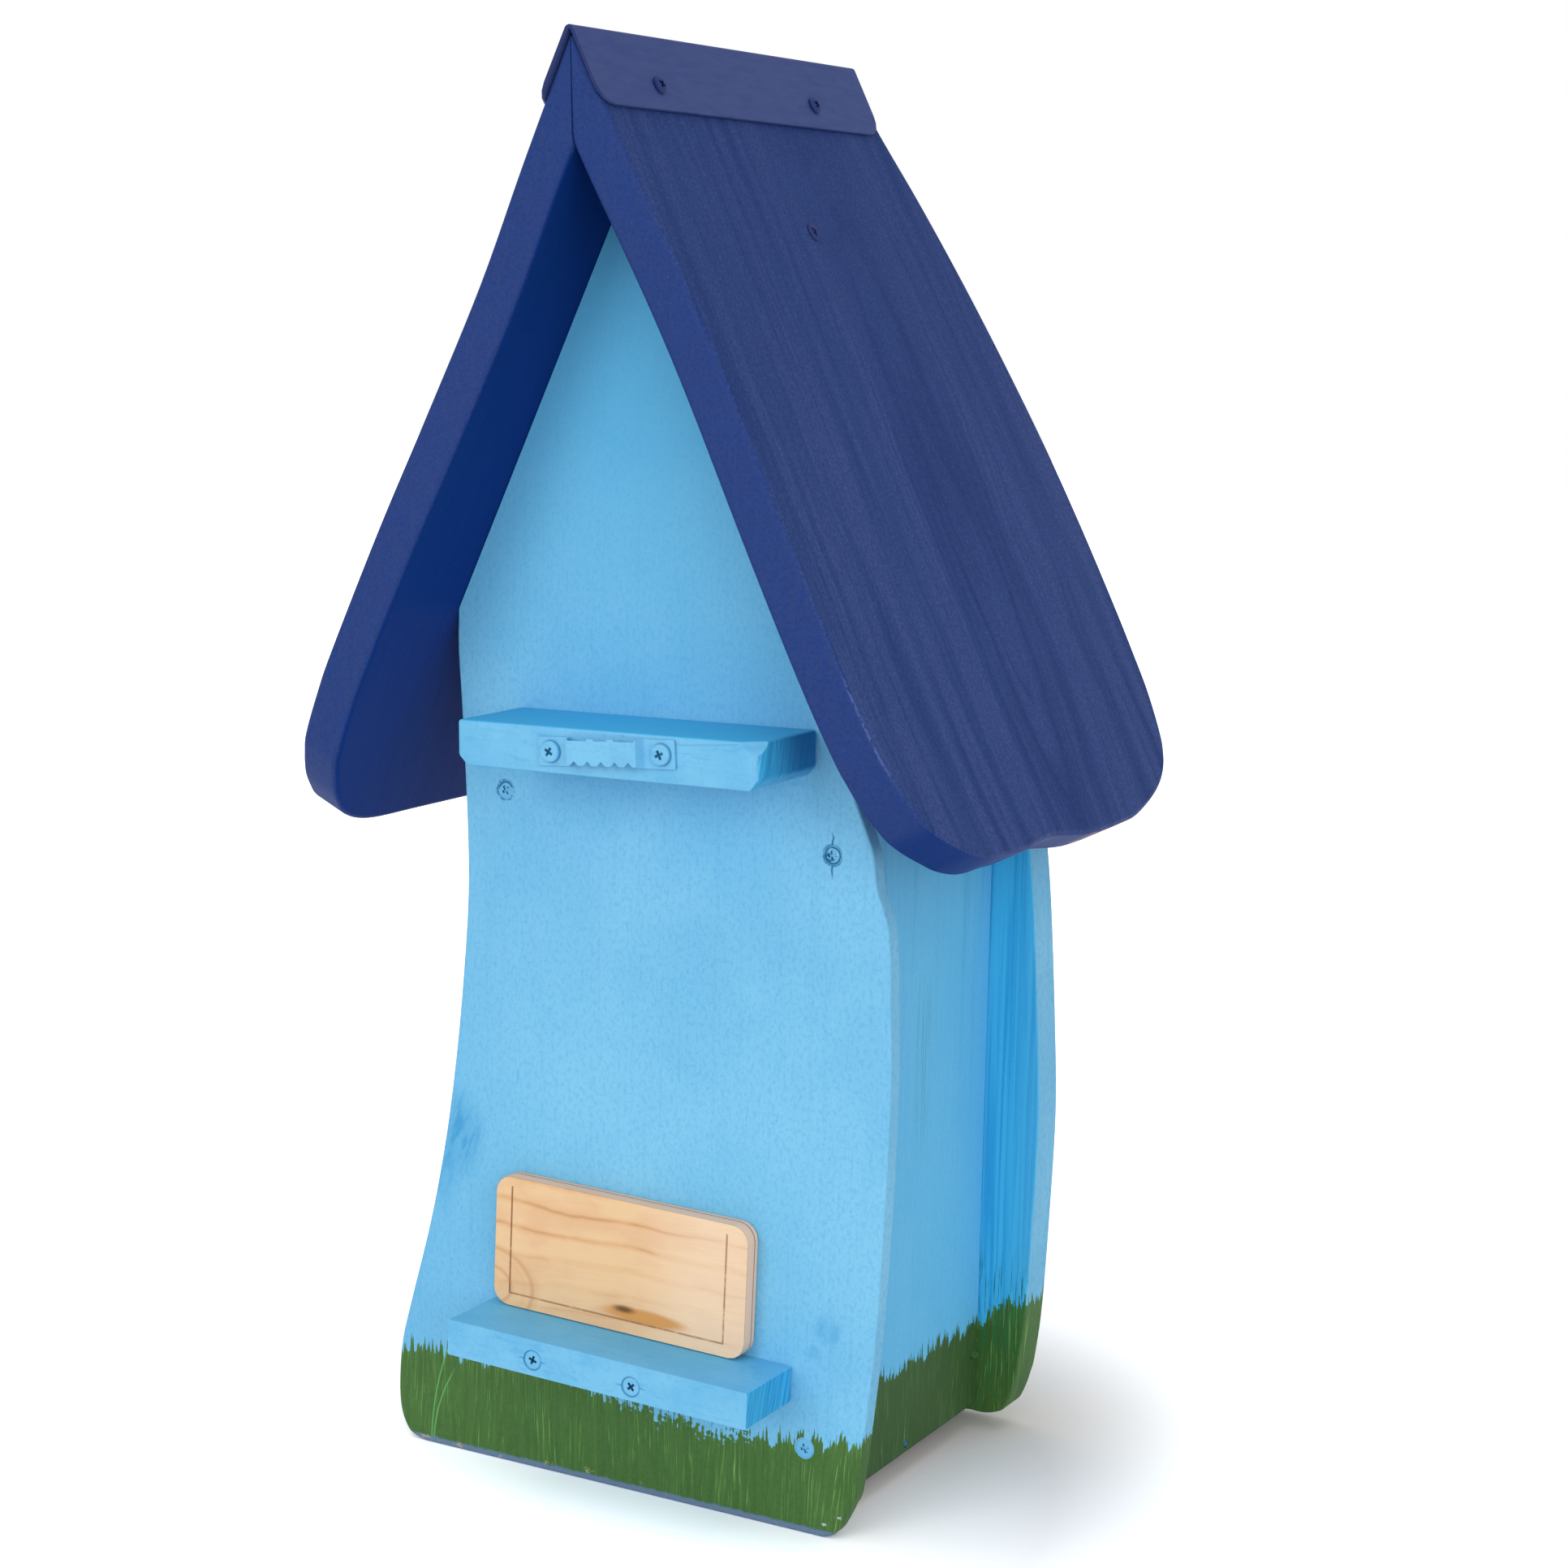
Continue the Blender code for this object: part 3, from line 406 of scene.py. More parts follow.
backLook = {
    # painted shade: the deeper blue towards the top, under the roof
    "high": tint(80, 176, 224),
    "scuff": tint(66, 154, 206),
    "blade": tint(104, 178, 104),
    "crackedScrews": {"back_screw_left_upper": 0.010, "back_screw_right_upper": 0.0},   # the cracks' length
    "crackRing": (0.0041, 0.0002, 0.0004),      # radius, half width and softness
    "edgeBlades": (0.080, 0.086),               # across, where taller grass begins
    "ragged": (-0.058, -0.050, 0.004, 0.018),   # across, where the grass under the ledge is ragged
    "cleanDisc": (0.0039, 0.0005, 0.02),        # radius, softness and the grass's drop, at the lowest screw
    "longBlades": [(0.0986, 4.5, 0.046), (0.0975, 9.0, 0.036)],     # across, bend and tip
    "foot": (0.0022, 0.0034),
    "scuffs": [             # across, up, half width, half height and strength of each bluer mark
        (0.084, 0.134, 0.014, 0.024, 1.0),
        (0.092, 0.118, 0.010, 0.024, 0.6),
        (0.057, 0.162, 0.0008, 0.004, 1.0),
        (-0.085, 0.083, 0.008, 0.008, 0.55),
        (-0.079, 0.073, 0.005, 0.004, 0.4),
    ],
    "chips": [              # across, up, width and colour of each spot where the paint came off
        (0.1015, 0.0020, 0.0022, tint(176, 164, 140)),
        (0.0852, 0.0016, 0.0030, tint(178, 160, 134)),
        (0.0414, 0.0034, 0.0022, tint(164, 160, 110)),
        (0.0220, 0.0044, 0.0018, tint(150, 160, 110)),
        (-0.0844, 0.0054, 0.0012, tint(190, 210, 220)),
        (-0.0910, 0.0092, 0.0008, tint(190, 200, 210)),
    ],
}


def screwCracks(f, colour, place, split):
    # broken paint round a screw's head, and cracks up and down from it
    away = f.away(place)
    rag = f.noise(f.place, 620.0, 3.0, 0.6)
    ring = f.strip(away + (rag - 0.5) * 0.0012, *backLook["crackRing"]) * f.mask(rag, 0.44, 0.52)
    colour = f.mix(ring * 0.6, colour, bodyPaint["crack"])
    if split:
        sway = (f.streaked((0.0, 4.0, f.z * 420), 2.0) - 0.5) * 0.002
        line = f.strip(f.x + sway, place[0], 0.00022, 0.0004) * f.fade(away, split * 0.6, split)
        colour = f.mix(line * f.mask(away, 0.0030, 0.0038) * 0.85, colour, bodyPaint["crack"])
    return colour


def backPaint():
    # the wall side, with its scuffs, its cracked screws and the worn edge that it stands on
    f = Finish("back_face_paint")
    along = f.x + f.y * bodyPaint["slant"]
    colour, relief = bluePaint(f, along, 0.16)
    # painted shade: darker and bluer towards the top, under the roof
    colour = f.mix(f.mask(f.z, 0.25, 0.47) * 0.75, colour, backLook["high"])
    # painted shade: the lower left of the panel darker
    side = f.mask(f.x, 0.03, 0.115) * f.fade(f.z, 0.20, 0.32)
    colour = f.mix(side * 0.42, colour, bodyPaint["deep"])
    strokes = f.streaked(((f.x + f.z * 0.4) * 260, 0.0, f.z * 60), 4.0, 0.65)
    for x, z, wide, tall, strength in backLook["scuffs"]:
        away = f.span((f.x - x) / wide, (f.z - z) / tall)
        share = f.fade(away, 0.3, 1.0) * (f.mask(strokes, 0.44, 0.6) * 0.55 + 0.4) * strength
        colour = f.mix(share, colour, backLook["scuff"])
    for node, split in backLook["crackedScrews"].items():
        colour = screwCracks(f, colour, headPlace(node, backWay), split)
    top = grassTop(f, "back") + f.blades(f.x, 300.0, 3.0) * f.mask(f.x, *backLook["edgeBlades"]) * 0.008
    raggedFrom, raggedFull, fullTo, raggedTo = backLook["ragged"]
    ragged = f.mask(f.x, raggedFrom, raggedFull) * f.fade(f.x, fullTo, raggedTo)
    radius, soft, drop = backLook["cleanDisc"]
    disc = f.near(headPlace("back_screw_left_lower", backWay), radius, soft)
    colour, relief2 = grassOver(f, colour, along, top - disc * drop, 0.0, ragged)
    for start, bend, tip in backLook["longBlades"]:
        blade = f.strip(f.x + f.z * f.z * bend, start, 0.0001, 0.0004) * f.fade(f.z, tip - 0.008, tip)
        colour = f.mix(blade * 0.75, colour, backLook["blade"])
    low = wornFoot(f, *backLook["foot"])
    colour = f.mix(low * 0.92, colour, bodyPaint["foot"])
    rag = f.noise(f.place, 700.0, 3.0, 0.6)
    for x, z, wide, shade in backLook["chips"]:
        chip = f.span(f.x - x, f.z - z, 0.2) + (rag - 0.5) * 0.0044
        colour = f.mix(f.fade(chip, wide * 0.1, wide * 0.5) * 0.75, colour, shade)
    spots = f.mask(f.noise(f.place, 150.0, 4.0, 0.65), 0.63, 0.69) * f.fade(f.z, 0.002, 0.007)
    colour = f.mix(spots * 0.75, colour, bodyPaint["bare"])
    return f.set(Base_Color=colour, Roughness=0.5 + relief * 0.12,
                 Normal=f.bump(relief + relief2 * 0.5 - low * 0.3, 0.0003, 0.55))


frontLook = {
    # painted shade for the rear face's strip behind the walls
    "rearShadeBlue": tint(68, 194, 241),
    "vein": tint(40, 168, 225),
    "reed": tint(22, 92, 96),
    "reedHeights": (0.045, 0.055, 0.062, 0.088),    # where the dark strokes over the grass begin and end
    "foot": (0.0006, 0.0016),
}


def frontPaint():
    # the entrance panel: a stronger blue on its rear face, painted shade for the strip behind the walls, and
    # the liveliest grass
    f = Finish("front_board_paint")
    along = f.x + f.y * bodyPaint["slant"]
    colour, relief = bluePaint(f, along, 0.3)
    rear = f.mask(f.ny, 0.5, 0.8)
    veins = f.streaked((f.x * 420, 0.0, f.z * 6), 5.0, 0.65, 0.3)
    rims = f.mask(f.size(f.x + 0.006), 0.088, 0.112)
    rearShadeBlue = f.mix(f.mask(veins, 0.4, 0.62), frontLook["rearShadeBlue"], frontLook["vein"])
    rearShadeBlue = f.mix(rims * 0.35, rearShadeBlue, bodyPaint["dull"])
    # painted shade: the rear face deeper and stronger blue, most beside the walls
    colour = f.mix(rear * 0.92, colour, rearShadeBlue)
    reeds = f.streaked((f.x * 1500, 3.0, f.z * 50), 3.0, 0.6)
    reedFrom, reedFull, fullTo, reedTo = frontLook["reedHeights"]
    above = f.mask(f.z, reedFrom, reedFull) * f.fade(f.z, fullTo, reedTo)
    colour = f.mix(rear * above * f.mask(reeds, 0.53, 0.62) * 0.8, colour, frontLook["reed"])
    colour, relief2 = grassOver(f, colour, along, grassTop(f, "front"), rear * 0.65 + 0.15, rear * 0.3)
    colour = f.mix(wornFoot(f, *frontLook["foot"]) * 0.7, colour, bodyPaint["foot"])
    return f.set(Base_Color=colour, Roughness=0.5 + relief * 0.12,
                 Normal=f.bump(relief + rear * veins * 0.8 + relief2 * 0.5, 0.0003, 0.6))


wallLook = {
    # painted shade: the walls' deeper, stronger blue
    "wallShadeBlue": tint(88, 188, 238),
    "sweep": tint(58, 150, 208),
    "smear": tint(54, 146, 168),
    "smearPlace": (0.006, 0.170),
    # painted shade under the roof, at the walls' top
    "shade": tint(66, 150, 206),
    "foot": tint(48, 60, 76),
    "grassHeight": 0.0495,
    "grassRise": 0.025,         # of the grass line, towards the wall side
    "nailRadius": 0.0018,
    "nailRim": tint(18, 40, 36),
    "nailHead": tint(128, 160, 150),
}


def nailPlace(node):
    # the middle of a nail's head, on the outside of a wall
    low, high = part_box(node)
    outer = low.x if "left" in node else high.x
    return Vector((outer, (low.y + high.y) / 2, (low.z + high.z) / 2))


def wallPaint():
    # the side walls, a deeper, stronger blue than the panels: painted shade for the sides that face away from
    # the light
    f = Finish("side_wall_paint")
    colour, relief = bluePaint(f, f.y, 0.25)
    # painted shade: the wall's deeper blue over the panels' paint
    colour = f.mix(0.62, colour, wallLook["wallShadeBlue"])
    sweep = f.streaked((f.y * 190, 0.0, f.z * 7), 4.0, 0.6)
    colour = f.mix(f.mask(sweep, 0.5, 0.68) * f.mask(f.z, 0.1, 0.26) * 0.3, colour, wallLook["sweep"])
    threads = f.streaked((f.y * 900, 2.0, f.z * 14), 3.0, 0.6)
    smearY, smearZ = wallLook["smearPlace"]
    smear = f.strip(f.y, smearY, 0.003, 0.006) * f.strip(f.z, smearZ, 0.016, 0.03)
    colour = f.mix(smear * f.mask(threads, 0.48, 0.6) * 0.45, colour, wallLook["smear"])
    # painted shade: the walls darker at the top, under the roof
    colour = f.mix(f.mask(f.z, 0.31, 0.36) * 0.4, colour, wallLook["shade"])
    top = f.y * wallLook["grassRise"] + wallLook["grassHeight"]
    colour, relief2 = grassOver(f, colour, f.y, top, 0.3, dim=0.5)
    for node in ("front_nail_left_lower", "front_nail_right_lower"):
        nail = f.away(nailPlace(node))
        rim = f.strip(nail, wallLook["nailRadius"], 0.0003, 0.0006)
        colour = f.mix(rim * 0.9, colour, wallLook["nailRim"])
        colour = f.mix(f.fade(nail, 0.0004, 0.0010) * 0.6, colour, wallLook["nailHead"])
    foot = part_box("side_wall_left")[0].z
    colour = f.mix(f.fade(f.z, foot + 0.0004, foot + 0.0014) * 0.8, colour, wallLook["foot"])
    return f.set(Base_Color=colour, Roughness=0.5 + relief * 0.12,
                 Normal=f.bump(relief + relief2 * 0.5, 0.0003, 0.55))


roofPaint = {
    "face": tint(42, 65, 122),
    "violet": tint(54, 73, 129),
    "deep": tint(24, 49, 107),
    "edge": tint(36, 61, 122),
    "edgeWarm": tint(46, 62, 114),
    # for pale specks, and for the rubbed paint and painted highlight along the arris
    "rub": tint(86, 108, 164),
    # painted shade for the boards' undersides
    "under": tint(3, 46, 117),
    "chip": tint(226, 222, 214),
    "sliver": tint(176, 148, 140),
    "grain": {"left": (-0.018, 0.385), "right": (-0.02, 0.40)},     # its middle line and the arches' height
    "rubAndHighlightHeight": 0.322,
    "chipPlace": (-0.0171, -0.0179, 0.4761),
    "sliverY": -0.046,
}


def roofFinishFor(side):
    # dark blue over flat-sawn boards: arches of grain that run down the slope, under fine brush lines
    f = Finish("roof_paint_" + side, specular=0.1)
    middleY, arch = roofPaint["grain"][side]
    sway = (f.streaked((f.y * 9, 0.0, f.z * 5)) - 0.5) * 0.035
    across = f.y - middleY + sway
    ring = f.span(across, f.size(f.z - arch) * 0.11 + 0.004) + f.y * 0.08
    wide = f.streaked((ring * 95, 0.0, f.z * 4), 3.0, 0.6)
    wave = f.streaked((ring * 420, 1.0, f.z * 8), 3.0, 0.6)
    cloud = f.streaked((f.y * 34, 5.0, f.z * 11), 3.0, 0.6)
    fine = f.streaked((f.y * 1000, 2.0, f.z * 40), 3.0, 0.6)
    speck = f.noise(f.place, 900.0, 2.0)
    mottle = f.noise(f.place, 850.0, 3.0, 0.65)
    colour = f.mix(f.mask(wide * 0.75 + cloud * 0.25, 0.44, 0.60), roofPaint["face"], roofPaint["violet"])
    colour = f.mix(f.mask(wave, 0.5, 0.66) * 0.55, colour, roofPaint["deep"])
    colour = f.mix(f.fade(wide, 0.36, 0.46) * 0.6, colour, roofPaint["deep"])
    # painted shade: the roof darker towards the ridge
    colour = f.mix(f.mask(f.z, 0.36, 0.50) * 0.32, colour, roofPaint["deep"])
    heart = f.fade(f.size(across), 0.010, 0.034) * f.mask(cloud, 0.36, 0.56)
    colour = f.mix(heart * (0.15 + f.mask(wave, 0.42, 0.58) * 0.45), colour, roofPaint["deep"])
    colour = f.mix(f.mask(fine, 0.52, 0.72) * 0.3, colour, roofPaint["violet"])
    colour = f.mix(f.mask(mottle, 0.46, 0.62) * 0.5, colour, roofPaint["deep"])
    colour = f.mix(f.fade(mottle, 0.36, 0.46) * 0.15, colour, roofPaint["rub"])
    # painted shade: the undersides a deep navy
    colour = f.mix(f.mask(0 - f.nz, 0.2, 0.4) * 0.93, colour, roofPaint["under"])
    rim = f.mask(f.size(f.ny), 0.5, 0.85)
    edgeGrain = f.streaked((f.x * 500, f.y * 60, f.z * 90), 4.0, 0.6)
    edge = f.mix(f.mask(edgeGrain, 0.42, 0.64) * 0.45, roofPaint["edge"], roofPaint["edgeWarm"])
    edge = f.mix(f.mask(mottle, 0.46, 0.62) * 0.45, edge, roofPaint["deep"])
    colour = f.mix(rim, colour, edge)
    # a light line along the rounded arris: rubbed paint and a painted highlight
    rubbedHighlight = f.strip(f.size(f.ny), 0.62, 0.10, 0.12) * f.mask(f.nx * sideWay[side], 0.2, 0.4)
    rubbedHighlight = rubbedHighlight * f.mask(f.noise(f.place, 420.0, 3.0), 0.44, 0.56)
    rubbedHighlight = rubbedHighlight * f.strip(f.z, roofPaint["rubAndHighlightHeight"], 0.010, 0.014)
    colour = f.mix(rubbedHighlight * 0.55, colour, roofPaint["rub"])
    colour = f.mix(f.mask(speck, 0.68, 0.78) * 0.3, colour, roofPaint["rub"])
    if side == "left":
        chip = f.away(roofPaint["chipPlace"]) + (speck - 0.5) * 0.001
        colour = f.mix(f.fade(chip, 0.0008, 0.0011) * 0.9, colour, roofPaint["chip"])
        sliver = f.strip(f.y, roofPaint["sliverY"], 0.016, 0.012) * f.mask(0 - f.nz, 0.5, 0.65)
        stripes = f.streaked((f.x * 900, f.y * 60, 0.0))
        colour = f.mix(sliver * f.mask(stripes, 0.42, 0.54) * 0.85, colour, roofPaint["sliver"])
    return f.set(Base_Color=colour, Roughness=0.5 + fine * 0.12,
                 Normal=f.bump(wave * 0.6 + fine * 0.4 + speck * 0.25 + edgeGrain * rim, 0.00035, 0.5))


sheetPaint = {
    "cap": (tint(60, 76, 129), tint(49, 65, 120)),
    "roofScrew": (tint(42, 56, 112), tint(30, 44, 98)),
    "pin": (tint(40, 118, 158), tint(30, 92, 126)),
    "dimple": tint(78, 92, 146),
    # painted shadow for the faces towards the wall side
    "rear": tint(20, 30, 82),
    # painted shade inside the screws' crosses
    "recess": tint(12, 22, 62),
}


def paintedSheet(name, lit, dull):
    # the ridge cap, the screws in the roof and the floor's pins
    f = Finish(name, specular=0.14)
    brush = f.streaked((f.y * 60, f.x * 300, f.z * 300), 4.0, 0.6)
    dimples = f.noise(f.place, 900.0, 3.0)
    colour = f.mix(f.mask(brush, 0.4, 0.7) * 0.5, lit, dull)
    colour = f.mix(f.mask(dimples, 0.6, 0.76) * 0.3, colour, sheetPaint["dimple"])
    # painted shadow: faces towards the wall side dark, for the gap under the cap's edge and beside the screw
    # heads
    colour = f.mix(f.mask(f.ny, 0.5, 0.85) * 0.65, colour, sheetPaint["rear"])
    # painted shade in the screws' crosses
    colour = f.mix(f.mark("recess") * 0.85, colour, sheetPaint["recess"])
    return f.set(Base_Color=colour, Roughness=0.46 + brush * 0.14,
                 Normal=f.bump(brush * 0.4 + dimples * 0.6, 0.0002, 0.4))


trimLook = {
    "lit": tint(118, 190, 228),
    "dull": tint(106, 181, 224),
    "stain": tint(74, 158, 212),
    # painted shade for the tops and bottoms
    "flat": tint(62, 182, 233),
    "endLit": tint(62, 182, 232),
    "endDark": tint(26, 146, 208),
    "endShade": tint(0, 104, 176),
    "crack": tint(50, 124, 176),
    "arc": tint(16, 88, 136),
    "blot": tint(20, 88, 128),
    # bare metal with a painted glint, beside the cracked screw
    "speck": tint(206, 222, 226),
    "blotFrom": Vector((0.0016, 0, -0.0009)),       # from the middle of the cracked screw
    "glintFrom": Vector((-0.0018, 0, 0.0004)),
    # painted shade inside the screws' crosses
    "recess": tint(24, 78, 112),
    # painted shadow round the hanger screws' disc heads
    "hangerRimShadow": tint(52, 134, 184),
    "hangerRecessShade": tint(36, 116, 160),
    "hangerCoat": 0.15,
}


def endGrainOver(f, colour, mottle):
    # end grain with its stripes in a stronger blue, partly painted shade, deepest on the batten's end under
    # the roof; the tops and bottoms a stronger blue too, as painted shade
    onBatten = f.mask(f.z, 0.1, 0.2)
    # painted shade: tops and bottoms a stronger blue
    flat = f.mask(f.size(f.nz), 0.6, 0.85)
    colour = f.mix(flat * (onBatten * 0.6 + 0.25), colour, trimLook["flat"])
    ends = f.mask(f.size(f.nx) + mottle * 0.2 - 0.1, 0.55, 0.92)
    rings = f.streaked((f.x * 2, (f.y + f.z * 0.25) * 1300, f.z * 26), 3.0, 0.6, 0.3)
    grain = f.mix(f.mask(rings, 0.42, 0.60), trimLook["endLit"], trimLook["endDark"])
    grain = f.mix(onBatten * f.fade(f.y, 0.090, 0.116) * 0.75, grain, trimLook["endShade"])
    return f.mix(ends * 0.9, colour, grain), ends * rings * 1.4


def screwMarks(f, colour, mottle):
    # cracks beside the ledge's screws, and broken arcs on the back panel's
    for node in ("ledge_screw_left", "ledge_screw_right"):
        place = headPlace(node, backWay)
        away = f.away(place)
        sway = (f.streaked((f.x * 400, 4.0, 0.0), 2.0) - 0.5) * 0.0024
        line = f.strip(f.z + sway, place.z, 0.0001, 0.0004) * f.fade(away, 0.004, 0.008)
        ring = f.strip(away + (mottle - 0.5) * 0.001, 0.0039, 0.0002, 0.0004)
        marks = f.most(line * f.mask(away, 0.0036, 0.0040), ring * 0.6)
        colour = f.mix(marks * 0.8, colour, trimLook["crack"])
    patch = f.noise(f.place, 260.0, 2.0)
    for node in backLook["crackedScrews"]:
        away = f.away(headPlace(node, backWay))
        arc = f.strip(away + (patch - 0.5) * 0.0012, 0.0032, 0.00015, 0.0004) * f.mask(patch, 0.44, 0.50)
        colour = f.mix(arc * 0.95, colour, trimLook["arc"])
    cracked = headPlace("back_screw_left_upper", backWay)
    blot = f.near(cracked + trimLook["blotFrom"], 0.0012, 0.0012) * f.mask(mottle, 0.38, 0.46)
    colour = f.mix(blot * 0.95, colour, trimLook["blot"])
    # bare metal beside the cracked screw, with a painted glint
    return f.mix(f.near(cracked + trimLook["glintFrom"], 0.0003, 0.0004), colour, trimLook["speck"])


def trimPaint(name, wooden=True):
    # batten, ledge and their screws, brushed along their length, or the hanger when not wooden
    f = Finish(name)
    brush = f.streaked((f.x * 60, f.y * 500, f.z * 800), 4.0, 0.6)
    cloud = f.noise(f.place, 34.0, 4.0)
    mottle = f.noise(f.place, 560.0, 3.0, 0.6)
    colour = f.mix(f.mask(cloud, 0.38, 0.66), trimLook["lit"], trimLook["dull"])
    colour = f.mix(f.mask(brush, 0.5, 0.72) * 0.25, colour, bodyPaint["deep"])
    colour = f.mix(f.mask(mottle, 0.5, 0.68) * 0.25, colour, bodyPaint["deep"])
    stain = f.mask(f.streaked((f.x * 90, f.y * 90, f.z * 260), 4.0, 0.65), 0.56, 0.66)
    colour = f.mix(stain * 0.3, colour, trimLook["stain"])
    relief = brush * 0.5 + mottle * 0.5
    if wooden:
        colour, endRelief = endGrainOver(f, colour, mottle)
        relief = relief + endRelief
        colour = screwMarks(f, colour, mottle)
    else:
        for node in ("hanger_screw_left", "hanger_screw_right"):
            # painted shadow: a dark ring round each hanger screw's disc head
            rim = f.strip(f.away(headPlace(node, backWay)), 0.0045, 0.0001, 0.0004)
            colour = f.mix(rim * 0.6, colour, trimLook["hangerRimShadow"])
        f.shader.inputs["Coat Weight"].default_value = trimLook["hangerCoat"]
    # painted shade in the screws' crosses
    colour = f.mix(f.mark("recess") * 0.85, colour, trimLook["recess" if wooden else "hangerRecessShade"])
    return f.set(Base_Color=colour, Roughness=0.48 + brush * 0.15, Normal=f.bump(relief, 0.0003, 0.5))


plateWood = {
    "pale": tint(233, 196, 152),
    "pink": tint(225, 181, 140),
    "warm": tint(220, 172, 122),
    "glow": tint(244, 220, 194),
    "line": tint(192, 136, 90),
    "burnt": tint(132, 74, 44),
    "resin": tint(208, 142, 66),
    "pitch": tint(84, 58, 40),
    "edge": tint(248, 204, 176),
    "glueLine": tint(128, 92, 74),
    "rowHeight": 0.0098,
    "tilt": 0.0262,
    "knotPlace": (-0.002, 0.009),       # across from the photo's left edge, and up
    "knotRims": ((0.0170, 0.0010), (0.0095, 0.0008)),       # radius and softness
    "resinPlace": (0.61, 0.0105),       # as a share of the width, and up
    "pitchPlace": (0.53, 0.0112),
    "borderLeft": 0.0082,
    "borderRight": 0.0098,
    "borderFoot": 0.0068,
    "borderTop": 0.0050,
    "lineHalf": 0.00026,
    "plies": 3,
}


def burntBorder(f, across, up, wide, tall):
    # thin lines at the left, right and foot, open at the top
    half = plateWood["lineHalf"]
    leftAt, footAt = plateWood["borderLeft"], plateWood["borderFoot"]
    rightAt, topAt = wide - plateWood["borderRight"], tall - plateWood["borderTop"]
    leftLine = f.strip(across, leftAt, half, half)
    rightLine = f.strip(across, rightAt, half, half) * 0.8
    footLine = f.strip(up, footAt, half, half) * 0.75
    inside = f.mask(across, leftAt - half, leftAt) * f.fade(across, rightAt, rightAt + half)
    lines = f.most(f.most(leftLine, rightLine) * f.mask(up, footAt - half, footAt), footLine * inside)
    lines = lines * f.mask(f.ny, 0.5, 0.8) * f.fade(up, topAt - 0.0005, topAt)
    return lines * (f.mask(f.noise(f.place, 240.0, 2.0), 0.3, 0.5) * 0.5 + 0.5)


def plateFinish(name, low, high):
    # planed pine with flat grain, part of a knot, a resin streak and a burnt border
    f = Finish(name)
    middle = (low + high) / 2
    wide, tall = high.x - low.x, high.z - low.z
    across = (high.x - f.x) - (f.z - middle.z) * plateWood["tilt"]
    up = f.z - low.z - (f.x - middle.x) * plateWood["tilt"]
    knotX, knotUp = plateWood["knotPlace"]
    knot = f.span(across - knotX, up - knotUp, 0.5)
    sway = f.streaked((across * 22, 1.0, up * 34), 3.0, 0.5)
    rows = up / plateWood["rowHeight"] + sway * 0.9 + 0.010 / (knot + 0.012)
    wave = f.maths("SINE", rows * 6.2832)
    fine = f.streaked((f.x * 60, f.y * 500, f.z * 1100), 4.0, 0.6)
    cloud = f.streaked((across * 30, 0.0, up * 60))
    colour = f.mix(f.mask(cloud, 0.42, 0.64) * 0.8, plateWood["pale"], plateWood["pink"])
    upHigh = f.mask(up, 0.016, 0.040) * 0.6 + 0.3
    colour = f.mix(f.mask(wave, 0.3, 1.0) * upHigh * 0.6, colour, plateWood["warm"])
    crest = f.mask(wave, 0.86, 1.0) * f.mask(cloud, 0.4, 0.6)
    colour = f.mix(crest * upHigh * 0.6, colour, plateWood["line"])
    colour = f.mix(f.mask(across, 0.060, 0.100) * 0.5, colour, plateWood["glow"])
    colour = f.mix(f.mask(fine, 0.5, 0.72) * 0.2, colour, plateWood["warm"])
    arcs = f.mask(f.maths("SINE", (knot + sway * 0.002) * 1500), 0.0, 1.0)
    colour = f.mix(f.fade(knot, 0.0165, 0.0180) * (arcs * 0.15 + 0.2), colour, plateWood["warm"])
    for radius, soft in plateWood["knotRims"]:
        colour = f.mix(f.strip(knot + sway * 0.003, radius, 0.0002, soft) * 0.4, colour, plateWood["line"])
    resinShare, resinUp = plateWood["resinPlace"]
    resin = f.span((across - wide * resinShare) * 0.16, up - resinUp + sway * 0.002)
    colour = f.mix(f.fade(resin, 0.0020, 0.0038) * 0.85, colour, plateWood["resin"])
    pitchShare, pitchUp = plateWood["pitchPlace"]
    pitch = f.span((across - wide * pitchShare) * 0.3, up - pitchUp)
    colour = f.mix(f.fade(pitch, 0.0004, 0.0022) * 0.85, colour, plateWood["pitch"])
    border = burntBorder(f, across, up, wide, tall)
    colour = f.mix(border * 0.85, colour, plateWood["burnt"])
    # the plies show on the edges
    edge = f.fade(f.size(f.ny), 0.4, 0.7)
    ply = (high.y - low.y) / plateWood["plies"]
    layer = f.maths("PINGPONG", f.y - low.y + ply, ply)
    colour = f.mix(edge * 0.85, colour, plateWood["edge"])
    colour = f.mix(edge * f.fade(layer, 0.00016, 0.0005) * 0.75, colour, plateWood["glueLine"])
    return f.set(Base_Color=colour, Roughness=0.42 + fine * 0.2,
                 Normal=f.bump(fine * 0.5 + wave * 0.1 - border * 0.6, 0.0003, 0.4))


hiddenWood = {              # light and dark colours, and how the grain and the pores run along each axis
    "beam": (tint(220, 188, 142), tint(186, 146, 98), (90, 8, 90), (700, 40, 700)),
    "plywood": (tint(214, 178, 130), tint(184, 144, 98), (10, 70, 120), (60, 500, 700)),
}
zinc = {"lit": tint(176, 178, 180), "dull": tint(134, 136, 140)}


